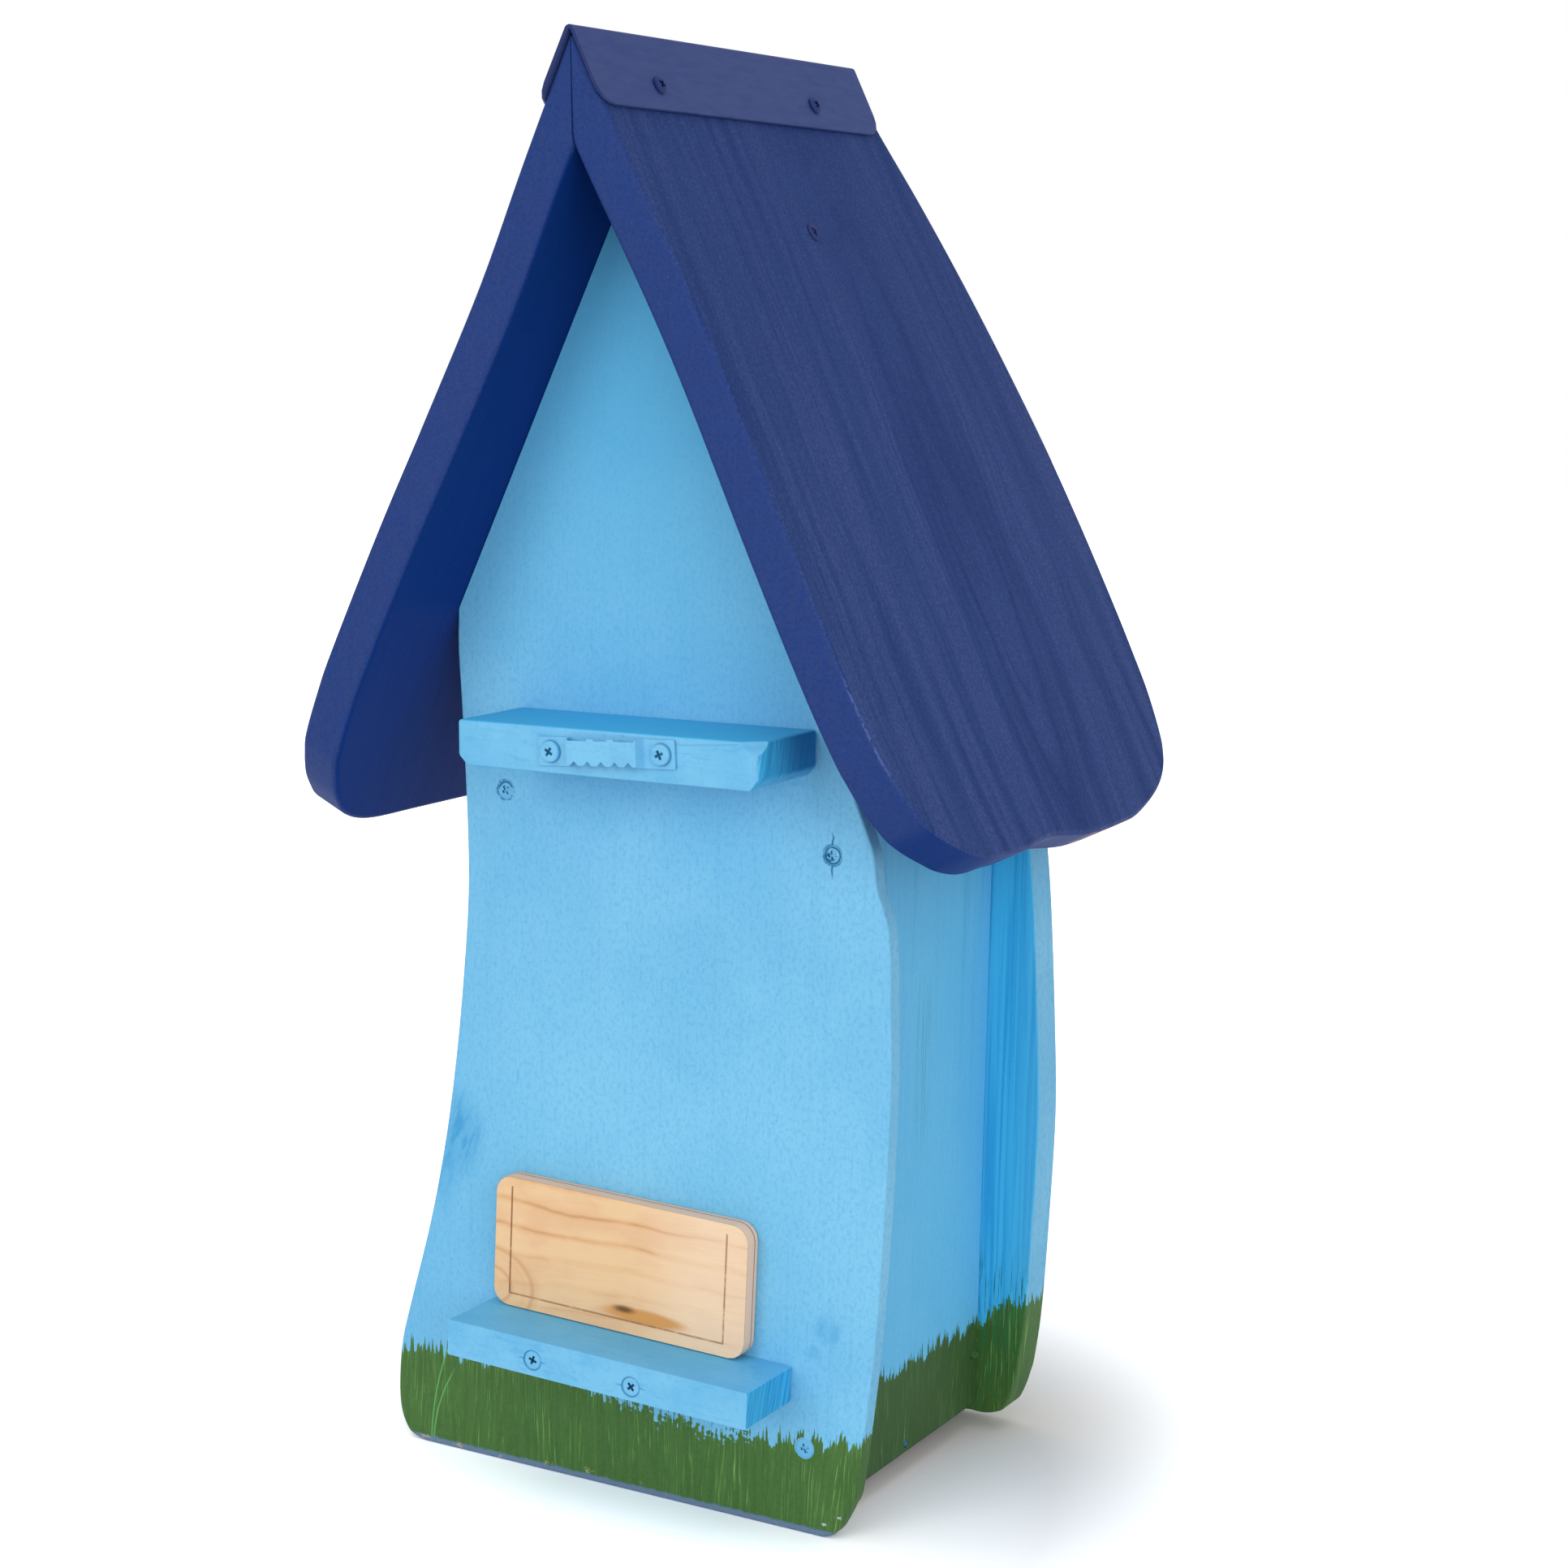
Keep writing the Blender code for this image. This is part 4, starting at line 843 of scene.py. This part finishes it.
def bareWood(name, lit, dark, grainTimes, poreTimes):
    f = Finish(name)
    axes = (f.x, f.y, f.z)
    grain = f.streaked([axis * times for axis, times in zip(axes, grainTimes)], 5.0, 0.6, 0.4)
    pores = f.streaked([axis * times for axis, times in zip(axes, poreTimes)], 3.0, 0.6)
    colour = f.mix(f.mask(grain, 0.4, 0.66), lit, dark)
    colour = f.mix(f.mask(pores, 0.55, 0.75) * 0.3, colour, dark)
    return f.set(Base_Color=colour, Roughness=0.66 + grain * 0.16,
                 Normal=f.bump(grain + pores * 0.5, 0.0004, 0.5))


def steelFinish(name):
    f = Finish(name, specular=0.5, metallic=1.0)
    rub = f.noise(f.place, 420.0, 4.0)
    colour = f.mix(f.mask(rub, 0.4, 0.7), zinc["lit"], zinc["dull"])
    return f.set(Base_Color=colour, Roughness=0.28 + rub * 0.22, Normal=f.bump(rub, 0.0001, 0.4))


backFinish = backPaint()
frontFinish = frontPaint()
wallFinish = wallPaint()
roofFinish = {side: roofFinishFor(side) for side in sideWay}
sheetFinish = paintedSheet("ridge_metal_paint", *sheetPaint["cap"])
roofScrewFinish = paintedSheet("roof_screw_paint", *sheetPaint["roofScrew"])
pinFinish = paintedSheet("pin_paint", *sheetPaint["pin"])
trimFinish = trimPaint("batten_paint")
hardwareFinish = trimPaint("hardware_paint", False)
nameplateFinish = plateFinish("varnished_plate", *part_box("name_plate"))
sawnFinish = bareWood("sawn_beam", *hiddenWood["beam"])
plyFinish = bareWood("sanded_plywood", *hiddenWood["plywood"])
steelLook = steelFinish("zinc_steel")
print("finishes made")


# Outlines of the wavy boards

outlines = {
    "steps": 6,
    "panelReach": 0.114,
    "sideHeight": 0.360,
    "closedAt": 0.60,       # above the roof, which slices the panels later
    "backLeft": [
        (0.000, 0.754), (0.006, 0.794), (0.018, 0.821), (0.038, 0.851), (0.060, 0.876), (0.148, 0.908),
        (0.241, 0.935), (0.383, 0.957), (0.504, 0.965), (0.572, 0.959), (0.657, 0.947), (0.686, 0.924),
        (0.710, 0.896), (0.743, 0.882), (0.764, 0.858), (0.803, 0.807), (0.844, 0.776), (0.894, 0.768),
        (0.944, 0.774)],
    "frontLeft": [
        (0.000, 0.395), (0.004, 0.526), (0.014, 0.632), (0.020, 0.719), (0.020, 0.774), (0.021, 0.807),
        (0.024, 0.839), (0.030, 0.870), (0.048, 0.896), (0.064, 0.911), (0.083, 0.925), (0.144, 0.947),
        (0.253, 0.964), (0.381, 0.975), (0.486, 0.960), (0.617, 0.931), (0.692, 0.906), (0.743, 0.882),
        (0.803, 0.807), (0.844, 0.776), (0.894, 0.768), (0.944, 0.774)],
    "right": [
        (0.000, 0.877), (0.003, 0.921), (0.010, 0.960), (0.032, 0.992), (0.066, 1.000), (0.115, 0.987),
        (0.166, 0.947), (0.267, 0.861), (0.364, 0.798), (0.461, 0.754), (0.555, 0.724), (0.648, 0.705),
        (0.738, 0.711), (0.851, 0.733), (0.917, 0.749), (0.958, 0.749)],
    "roofRear": {
        "left": [
            (0.000, 0.009), (0.130, 0.017), (0.226, 0.028), (0.319, 0.037), (0.419, 0.038), (0.605, 0.028),
            (0.747, 0.026), (0.831, 0.033), (0.861, 0.041), (0.894, 0.055), (0.914, 0.070), (0.933, 0.087),
            (0.951, 0.117), (0.966, 0.151), (0.980, 0.187), (0.990, 0.241), (0.991, 0.304), (0.992, 0.363),
            (0.988, 0.456)],
        "right": [
            (0.000, 0.009), (0.156, 0.014), (0.303, 0.023), (0.456, 0.015), (0.612, 0.003), (0.774, 0.000),
            (0.829, 0.004), (0.887, 0.015), (0.914, 0.029), (0.945, 0.052), (0.966, 0.077), (0.982, 0.102),
            (0.994, 0.141), (1.000, 0.195), (1.000, 0.304), (1.000, 0.456)],
    },
    "roofFront": [
        (1.000, 0.588), (1.000, 0.720), (0.996, 0.778), (0.979, 0.868), (0.958, 0.925), (0.934, 0.956),
        (0.908, 0.973), (0.855, 0.991), (0.798, 0.997), (0.738, 1.000), (0.630, 0.999), (0.518, 0.989),
        (0.404, 0.967), (0.291, 0.937), (0.179, 0.897), (0.078, 0.852), (0.000, 0.831)],
}
roof = {
    "ridgeHeight": 0.5211,
    "ridgeOffset": 0.0044,
    "lean": {"left": math.radians(26.8), "right": math.radians(24.8)},
    "length": {"left": 0.332, "right": 0.327},
    "thickness": 0.018,
    "backOverhang": 0.0483,
    "depth": 0.2573,
    "arris": 0.0024,
    "flatDrop": 0.0025,
    "gap": 0.0003,
}


def smoothLine(points):
    # a soft curve through the points, with a few more after each of them
    padded = [points[0]] + list(points) + [points[-1]]
    curve = []
    for before, here, there, after in zip(padded, padded[1:], padded[2:], padded[3:]):
        for step in range(outlines["steps"]):
            t = step / outlines["steps"]
            curve.append(tuple(
                0.5 * (2 * b + (c - a) * t + (2 * a - 5 * b + 4 * c - d) * t ** 2
                       + (3 * b - a - 3 * c + d) * t ** 3)
                for a, b, c, d in zip(before, here, there, after)))
    return curve + [tuple(points[-1])]


def slab(name, points, matrix, thickness, arris, segments=3):
    # a closed outline drawn flat, pulled up to its thickness and rounded along its edges
    letGo()
    bpy.ops.mesh.primitive_circle_add(vertices=len(points), radius=0.1, fill_type="NGON")
    piece = bpy.context.object
    piece.name = name
    for vertex, (x, y) in zip(piece.data.vertices, points):
        vertex.co = (x, y, 0.0)
    bpy.ops.object.mode_set(mode="EDIT")
    bpy.ops.mesh.select_all(action="SELECT")
    bpy.ops.mesh.extrude_region_move(TRANSFORM_OT_translate={"value": (0.0, 0.0, thickness)})
    bpy.ops.mesh.select_all(action="SELECT")
    bpy.ops.mesh.normals_make_consistent(inside=False)
    objectMode()
    roundEdges(piece, arris, segments, 50)
    piece.data.transform(matrix)
    if matrix.determinant() < 0:
        piece.data.flip_normals()
    return piece


def sliceOff(piece, point, outward):
    takeUp(piece)
    bpy.ops.object.mode_set(mode="EDIT")
    bpy.ops.mesh.select_all(action="SELECT")
    bpy.ops.mesh.bisect(plane_co=point, plane_no=outward, use_fill=True, clear_outer=True)
    objectMode()


def panelLine(leftShares, rightShares):
    # both wavy sides in X and Z, closed high up
    far, tall, closedAt = outlines["panelReach"], outlines["sideHeight"], outlines["closedAt"]
    left = smoothLine([(-reach * far, up * tall) for up, reach in leftShares])
    right = smoothLine([(reach * far, up * tall) for up, reach in rightShares])
    return left + [(left[-1][0], closedAt), (right[-1][0], closedAt)] + right[::-1]


ridgePlace = Vector((middleX + roof["ridgeOffset"], rearY, roof["ridgeHeight"]))
slopeWay = {}               # out of each slope, square to it
for word, side in sideWay.items():
    slopeWay[word] = Vector((side * math.cos(roof["lean"][word]), 0, math.sin(roof["lean"][word])))


def trimUnderRoof(piece):
    for outward in slopeWay.values():
        sliceOff(piece, ridgePlace - outward * roof["gap"], outward)


# Screws

screw = {
    "headRadius": 0.0038,
    "headEdge": 0.0005,
    "shankRadius": 0.0019,
    "sunk": 0.0003,
    "length": 0.034,
    "point": 0.006,
    "pan": {
        "head": 0.0035,
        "rise": 0.0017,
        "shank": 0.0019,
        "length": 0.009,
        "dome": [(0.98, 0), (1, 0.16), (0.985, 0.38), (0.9, 0.66), (0.72, 0.86), (0.45, 0.97), (0.1, 1)],
    },
    "disc": {
        "head": 0.0040,
        "rise": 0.0016,
        "shank": 0.0013,
        "length": 0.013,
        "dome": [(0.99, 0), (1, 0.12), (1, 0.5), (0.97, 0.74), (0.9, 0.93), (0.82, 1), (0.125, 1.03)],
    },
    "recessReach": 0.0022,
    "recessWidth": 0.0013,
    "recessDepth": 0.0016,
    "recessTaper": 0.55,        # the width at its bottom, as a share of that at its top
    "recessOver": 0.001,        # how far its cutter stands out of the head
    "recessLip": 0.00025,       # below the top, where the paint inside begins to look dark
    "sides": 40,
}


def spunUp(name, profile, sides):
    # a ring pulled up and scaled along (radius, height) points, from the tip of the shank to the head
    letGo()
    first, height = profile[0]
    bpy.ops.mesh.primitive_circle_add(vertices=sides, radius=first, fill_type="NGON", location=(0, 0, 0))
    piece = bpy.context.object
    piece.name = name
    bpy.ops.object.mode_set(mode="EDIT")
    bpy.ops.mesh.select_all(action="SELECT")
    bpy.ops.transform.translate(value=(0, 0, height))
    before = first
    for radius, up in profile[1:]:
        bpy.ops.mesh.extrude_region_move(TRANSFORM_OT_translate={"value": (0, 0, up - height)})
        bpy.ops.transform.resize(value=(radius / before, radius / before, 1), center_override=(0, 0, up))
        before, height = radius, up
    bpy.ops.mesh.select_all(action="SELECT")
    bpy.ops.mesh.normals_make_consistent(inside=False)
    objectMode()
    return piece


def crossCutter(top):
    letGo()
    arms = []
    for turn in (0, math.pi / 2):
        bpy.ops.mesh.primitive_cube_add(size=1, location=(0, 0, top))
        arm = bpy.context.object
        for vertex in arm.data.vertices:
            low = vertex.co.z < 0
            narrow = screw["recessTaper"] if low else 1.0
            vertex.co = (vertex.co.x * 2 * screw["recessReach"] * narrow,
                         vertex.co.y * screw["recessWidth"] * narrow,
                         -screw["recessDepth"] if low else screw["recessOver"])
        arm.data.transform(Matrix.Rotation(turn, 4, "Z"))
        arms.append(arm)
    for arm in arms:
        arm.data.transform(arm.matrix_world)
        arm.matrix_world = Matrix.Identity(4)
    applyModifier(arms[0], "BOOLEAN", operation="UNION", solver="EXACT", object=arms[1])
    bpy.data.objects.remove(arms[1])
    return arms[0]


def makeScrewKind(name, profile, top):
    kind = spunUp(name, profile, screw["sides"])
    cutAway(kind, crossCutter(top))
    smoothFaces(kind, 38)
    # marks the cross, which the finishes darken as painted shade in the recess
    inside = kind.data.attributes.new("recess", "FLOAT", "FACE")
    for face, value in zip(kind.data.polygons, inside.data):
        middle = face.center
        deep = top - screw["recessDepth"] * 1.1 < middle.z < top - screw["recessLip"]
        value.value = float(deep and math.hypot(middle.x, middle.y) < screw["recessReach"])
    return kind


def countersunkKind():
    head, shank, sunk, edge = screw["headRadius"], screw["shankRadius"], screw["sunk"], screw["headEdge"]
    length = screw["length"]
    profile = [(shank * 0.2, -length), (shank, -length + screw["point"]), (shank, -edge - head + shank),
               (head, -edge), (head, -sunk - 0.00015), (head - 0.0002, -sunk), (0.0005, -sunk + 0.0001)]
    return makeScrewKind("countersunk", profile, -sunk)


def raisedKind(word):
    # a head that stands on the surface, its dome in shares of its radius and its rise
    kind = screw[word]
    shank, length = kind["shank"], kind["length"]
    profile = [(shank * 0.2, -length), (shank, -length + shank * 3), (shank, 0.0)]
    profile += [(kind["head"] * radius, kind["rise"] * up) for radius, up in kind["dome"]]
    return makeScrewKind(word + "_screw", profile, kind["rise"])


def setScrew(kind, node, way, angle, finish, drop=0.0):
    piece = kind.copy()
    piece.data = kind.data.copy()
    piece.name = node + "_dressed"
    bpy.context.scene.collection.objects.link(piece)
    way = Vector(way).normalized()
    turn = way.to_track_quat("Z", "Y").to_matrix().to_4x4()
    piece.data.transform(Matrix.Translation(headPlace(node, way) - way * drop) @ turn
                         @ Matrix.Rotation(math.radians(angle), 4, "Z"))
    dress(piece, node, finish)


def sinkHole(piece, place, way, radius, depth):
    # the shallow ring that a countersunk head leaves in the paint
    letGo()
    bpy.ops.mesh.primitive_cone_add(vertices=screw["sides"], radius1=radius * 0.93, radius2=radius * 1.06,
                                    depth=depth * 2)
    cutter = bpy.context.object
    turn = Vector(way).to_track_quat("Z", "Y").to_matrix().to_4x4()
    cutter.matrix_world = Matrix.Translation(place) @ turn
    cutAway(piece, cutter)


# The two end panels

panels = {
    "backThickness": 0.008,
    "insideDepth": 0.126,
    "frontThickness": 0.018,
    "arris": 0.0011,
    "holeRadius": 0.016,
    "holeHeight": 0.242,
    "holeEdge": 0.0016,
    "holeCut": 0.06,
    "holeSides": 72,
    "sinkRadius": 0.0040,
    "sinkDepth": 0.0009,
}


def standUp(rear):
    # takes a drawing in X and Z, pulled up along its own Z, to a board whose rear face is at that Y
    return Matrix(((1, 0, 0, middleX), (0, 0, -1, rear), (0, 1, 0, 0), (0, 0, 0, 1)))


backPanel = slab("back_board", panelLine(outlines["backLeft"], outlines["right"]), standUp(rearY),
                 panels["backThickness"], panels["arris"])
trimUnderRoof(backPanel)
for screwNode in ("back_screw_left_upper", "back_screw_left_lower", "back_screw_right_upper",
                  "back_screw_right_lower"):
    sinkHole(backPanel, headPlace(screwNode, backWay), backWay, panels["sinkRadius"], panels["sinkDepth"])
smoothFaces(backPanel)
dress(backPanel, "back_panel", backFinish)

frontRear = rearY - panels["backThickness"] - panels["insideDepth"]
frontPanel = slab("front_board", panelLine(outlines["frontLeft"], outlines["right"]), standUp(frontRear),
                  panels["frontThickness"], panels["arris"])
trimUnderRoof(frontPanel)
holeX = (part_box("side_wall_left")[1].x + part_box("side_wall_right")[0].x) / 2
holeMiddle = Vector((holeX, frontRear, panels["holeHeight"]))
letGo()
bpy.ops.mesh.primitive_cylinder_add(vertices=panels["holeSides"], radius=panels["holeRadius"],
                                    depth=panels["holeCut"], location=holeMiddle,
                                    rotation=(math.pi / 2, 0, 0))
cutAway(frontPanel, bpy.context.object)


def onHoleRim(edge):
    ends = [frontPanel.data.vertices[index].co for index in edge.vertices]
    reaches = [math.hypot(end.x - holeMiddle.x, end.z - holeMiddle.z) for end in ends]
    onCircle = all(abs(reach - panels["holeRadius"]) < 0.0003 for reach in reaches)
    return onCircle and abs(ends[0].y - ends[1].y) < 0.0001


pickEdges(frontPanel, onHoleRim)
bpy.ops.mesh.bevel(offset=panels["holeEdge"], segments=4, profile=0.5, affect="EDGES", clamp_overlap=False)
objectMode()
smoothFaces(frontPanel)
dress(frontPanel, "front_panel", frontFinish)
print("end panels made")


# The roof boards

def roofBoard(word):
    # drawn lying flat, mitred at the ridge, and leaned down its slope
    side = sideWay[word]
    half = (roof["lean"]["left"] + roof["lean"]["right"]) / 2
    setback = roof["thickness"] / math.tan(half)
    length = roof["length"][word]
    points = smoothLine([(side * (down * length - setback), roof["backOverhang"] - across * roof["depth"])
                         for down, across in outlines["roofRear"][word] + outlines["roofFront"]])
    past = -side * 2 * setback
    line = [(past, points[0][1])] + points + [(past, points[-1][1])]
    board = slab("roof_plank_" + word, line, Matrix.Identity(4), roof["thickness"], roof["arris"], 4)
    mitre = Vector((side * math.sin(half), 0, math.cos(half)))
    upward = Vector((-side * math.cos(half), 0, math.sin(half)))
    sliceOff(board, mitre * roof["gap"] / 2, -mitre)
    sliceOff(board, Vector((-side * setback, 0, roof["thickness"])) - upward * roof["flatDrop"], upward)
    turn = roof["lean"][word] - math.pi / 2
    board.data.transform(Matrix.Translation(ridgePlace) @ Matrix.Rotation(-side * turn, 4, "Y"))
    return board


for word in sideWay:
    board = roofBoard(word)
    smoothFaces(board)
    dress(board, "roof_board_" + word, roofFinish[word])
print("roof boards made")


# Ridge cap, batten, ledge, plate and hanger keep the CAD shapes, with softer edges

trim = {
    "capEdge": 0.00035,
    "battenEdge": 0.0004,
    "hangerEdge": 0.00018,
    "chipIn": 0.0060,           # the piece broken off the batten's upper corner
    "chipDown": 0.0030,
    "chipWay": (-0.5, 0.62, 0.6),
}

cap = copyNode("ridge_cap", "folded_cap")
roundEdges(cap, trim["capEdge"], 2, 50)
smoothFaces(cap, 42)
dress(cap, "ridge_cap", sheetFinish)

batten = copyNode("hanging_batten", "wall_batten")
battenLow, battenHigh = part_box("hanging_batten")
sliceOff(batten, Vector((battenLow.x + trim["chipIn"], battenHigh.y, battenHigh.z - trim["chipDown"])),
         Vector(trim["chipWay"]).normalized())
roundEdges(batten, trim["battenEdge"], 2, 25)
smoothFaces(batten, 30)
dress(batten, "hanging_batten", trimFinish)

ledge = copyNode("wall_ledge", "plate_ledge")
for screwNode in ("ledge_screw_left", "ledge_screw_right"):
    sinkHole(ledge, headPlace(screwNode, backWay), backWay, panels["sinkRadius"], panels["sinkDepth"])
smoothFaces(ledge, 30)
dress(ledge, "wall_ledge", trimFinish)

plate = copyNode("name_plate", "wooden_plate")
smoothFaces(plate, 50)
dress(plate, "name_plate", nameplateFinish)

hanger = copyNode("sawtooth_hanger", "saw_hanger")
roundEdges(hanger, trim["hangerEdge"], 2, 40)
smoothFaces(hanger, 25)
dress(hanger, "sawtooth_hanger", hardwareFinish)
print("trim made")


# Screws, each with its own turn, in degrees

screwTurns = {
    "back_screw_left_upper": 12,
    "back_screw_left_lower": 20,
    "back_screw_right_upper": 38,
    "back_screw_right_lower": 5,
    "ledge_screw_left": 40,
    "ledge_screw_right": 70,
}
sideTurns = {"left": 25, "right": 60}           # for the roof, cap, hanger and batten screws
capScrewTurns = {"rear": 28, "front": 35}       # on top of the side's turn
longScrew = countersunkKind()
panScrew = raisedKind("pan")
discScrew = raisedKind("disc")
for node, angle in screwTurns.items():
    setScrew(longScrew, node, backWay, angle, trimFinish)
for word, angle in sideTurns.items():
    setScrew(longScrew, "roof_screw_" + word, slopeWay[word], angle, roofScrewFinish)
    for end, more in capScrewTurns.items():
        setScrew(panScrew, "cap_screw_" + word + "_" + end, slopeWay[word], angle + more,
                 roofScrewFinish, screw["pan"]["rise"])
    setScrew(discScrew, "hanger_screw_" + word, backWay, angle, hardwareFinish,
             screw["disc"]["rise"])
    setScrew(longScrew, "batten_screw_" + word, -backWay, angle, steelLook)
for kind in (longScrew, panScrew, discScrew):
    bpy.data.objects.remove(kind)
print("screws set")


# Nodes that keep their CAD shape

kept = {
    "side_wall_left": wallFinish,
    "side_wall_right": wallFinish,
    "ridge_beam": sawnFinish,
    "floor_flap": plyFinish,
    "pivot_pin_left": pinFinish,
    "pivot_pin_right": pinFinish,
    "front_nail_left_lower": wallFinish,
    "front_nail_left_upper": wallFinish,
    "front_nail_right_lower": wallFinish,
    "front_nail_right_upper": wallFinish,
}
for node, finish in kept.items():
    nodes[node].data.materials.clear()
    nodes[node].data.materials.append(finish)
print("walls, beam, floor, pins and nails dressed")


# Floor, light and camera

studio = {
    "floorSize": 14.0,
    "floorColour": (0.8, 0.8, 0.8, 1),                              # as it lights the box
    "floorSeen": ((0.90, 0.87, 0.855, 1), (1.6, 1.6, 1.6, 1)),      # for the camera: beside the box, darker as a painted shadow, and away, white
    "floorReach": (0.115, 0.235),       # from the middle, where it begins to turn white and is white
    "floorFront": (-0.12, 0.10),        # the same towards the camera, along Y and some of X
    "floorSlant": 0.45,
    "worldStrength": 0.52,
    "lamps": {          # strength, the way from the box towards the lamp, and spread in degrees
        "key": (0.82, (0.26, 0.91, 0.32), 34),
        "fill": (1.15, (-0.70, 0.67, 0.24), 50),
        "top": (0.75, (0.05, 0.1, 0.99), 60),
    },
}


def seenDirectly(finish):
    # 1 for what the camera, a mirror or glass sees
    path = finish.node("ShaderNodeLightPath", {}, {})
    rays = ("Is Camera Ray", "Is Glossy Ray", "Is Transmission Ray")
    camera, mirror, glass = (Tone(finish, path.outputs[name]) for name in rays)
    return finish.most(finish.most(camera, mirror), glass)


letGo()
bpy.ops.mesh.primitive_plane_add(size=studio["floorSize"], location=(0, 0, 0))
floor = bpy.context.object
floor.name = "studio_floor"
paper = Finish("pale_floor", specular=0.0)
paper.shader.inputs["Roughness"].default_value = 0.9
# painted shadow: the floor that the camera sees is darker beside the box and turns white away from it and
# towards the camera
paperShadowFade = paper.most(paper.mask(paper.away((0, 0, 0)), *studio["floorReach"]),
                       paper.mask(paper.y + paper.x * studio["floorSlant"], *studio["floorFront"]))
paperSeen = paper.mix(paperShadowFade, *studio["floorSeen"])
floor.data.materials.append(
    paper.set(Base_Color=paper.mix(seenDirectly(paper), studio["floorColour"], paperSeen)))

world = bpy.data.worlds.new("studio")
bpy.context.scene.world = world
world.use_nodes = True
sky = Wiring(world.node_tree)
seen = Tone(sky, sky.node("ShaderNodeLightPath", {}, {}).outputs["Is Camera Ray"])
strength = sky.node("ShaderNodeMapRange", {}, {0: seen, 3: studio["worldStrength"], 4: 1.0})
background = world.node_tree.nodes["Background"]
background.inputs["Color"].default_value = (1, 1, 1, 1)
world.node_tree.links.new(strength.outputs[0], background.inputs["Strength"])


def softLamp(name, strength, way, spread):
    # a wide soft light from far away, so that the floor is lit alike all over
    bpy.ops.object.light_add(type="SUN", location=Vector(way) * 3)
    lamp = bpy.context.object
    lamp.name = name
    lamp.data.energy = strength
    lamp.data.angle = math.radians(spread)
    lamp.rotation_euler = Vector(way).to_track_quat("Z", "Y").to_euler()


for name, (strength, way, spread) in studio["lamps"].items():
    softLamp(name, strength, way, spread)

cameraSetting = {
    "place": (-0.596247, 1.049997, 0.471771),
    "right": (-0.87379507, -0.48588984, 0.01983031),
    "up": (0.0954493, -0.13137965, 0.98672631),
    "back": (-0.47683499, 0.86408938, 0.16117673),
    "lens": 69.25,
    "sensor": 36.0,
}
bpy.ops.object.camera_add()
camera = bpy.context.object
camera.name = "photo_view"
columns = [cameraSetting[key] for key in ("right", "up", "back", "place")]
camera.matrix_world = Matrix([*zip(*columns), (0, 0, 0, 1)])
camera.data.lens = cameraSetting["lens"]
camera.data.sensor_width = cameraSetting["sensor"]
bpy.context.scene.camera = camera
bpy.context.scene.view_settings.view_transform = "Standard"
letGo()

bpy.context.view_layer.update()
print("scene made")
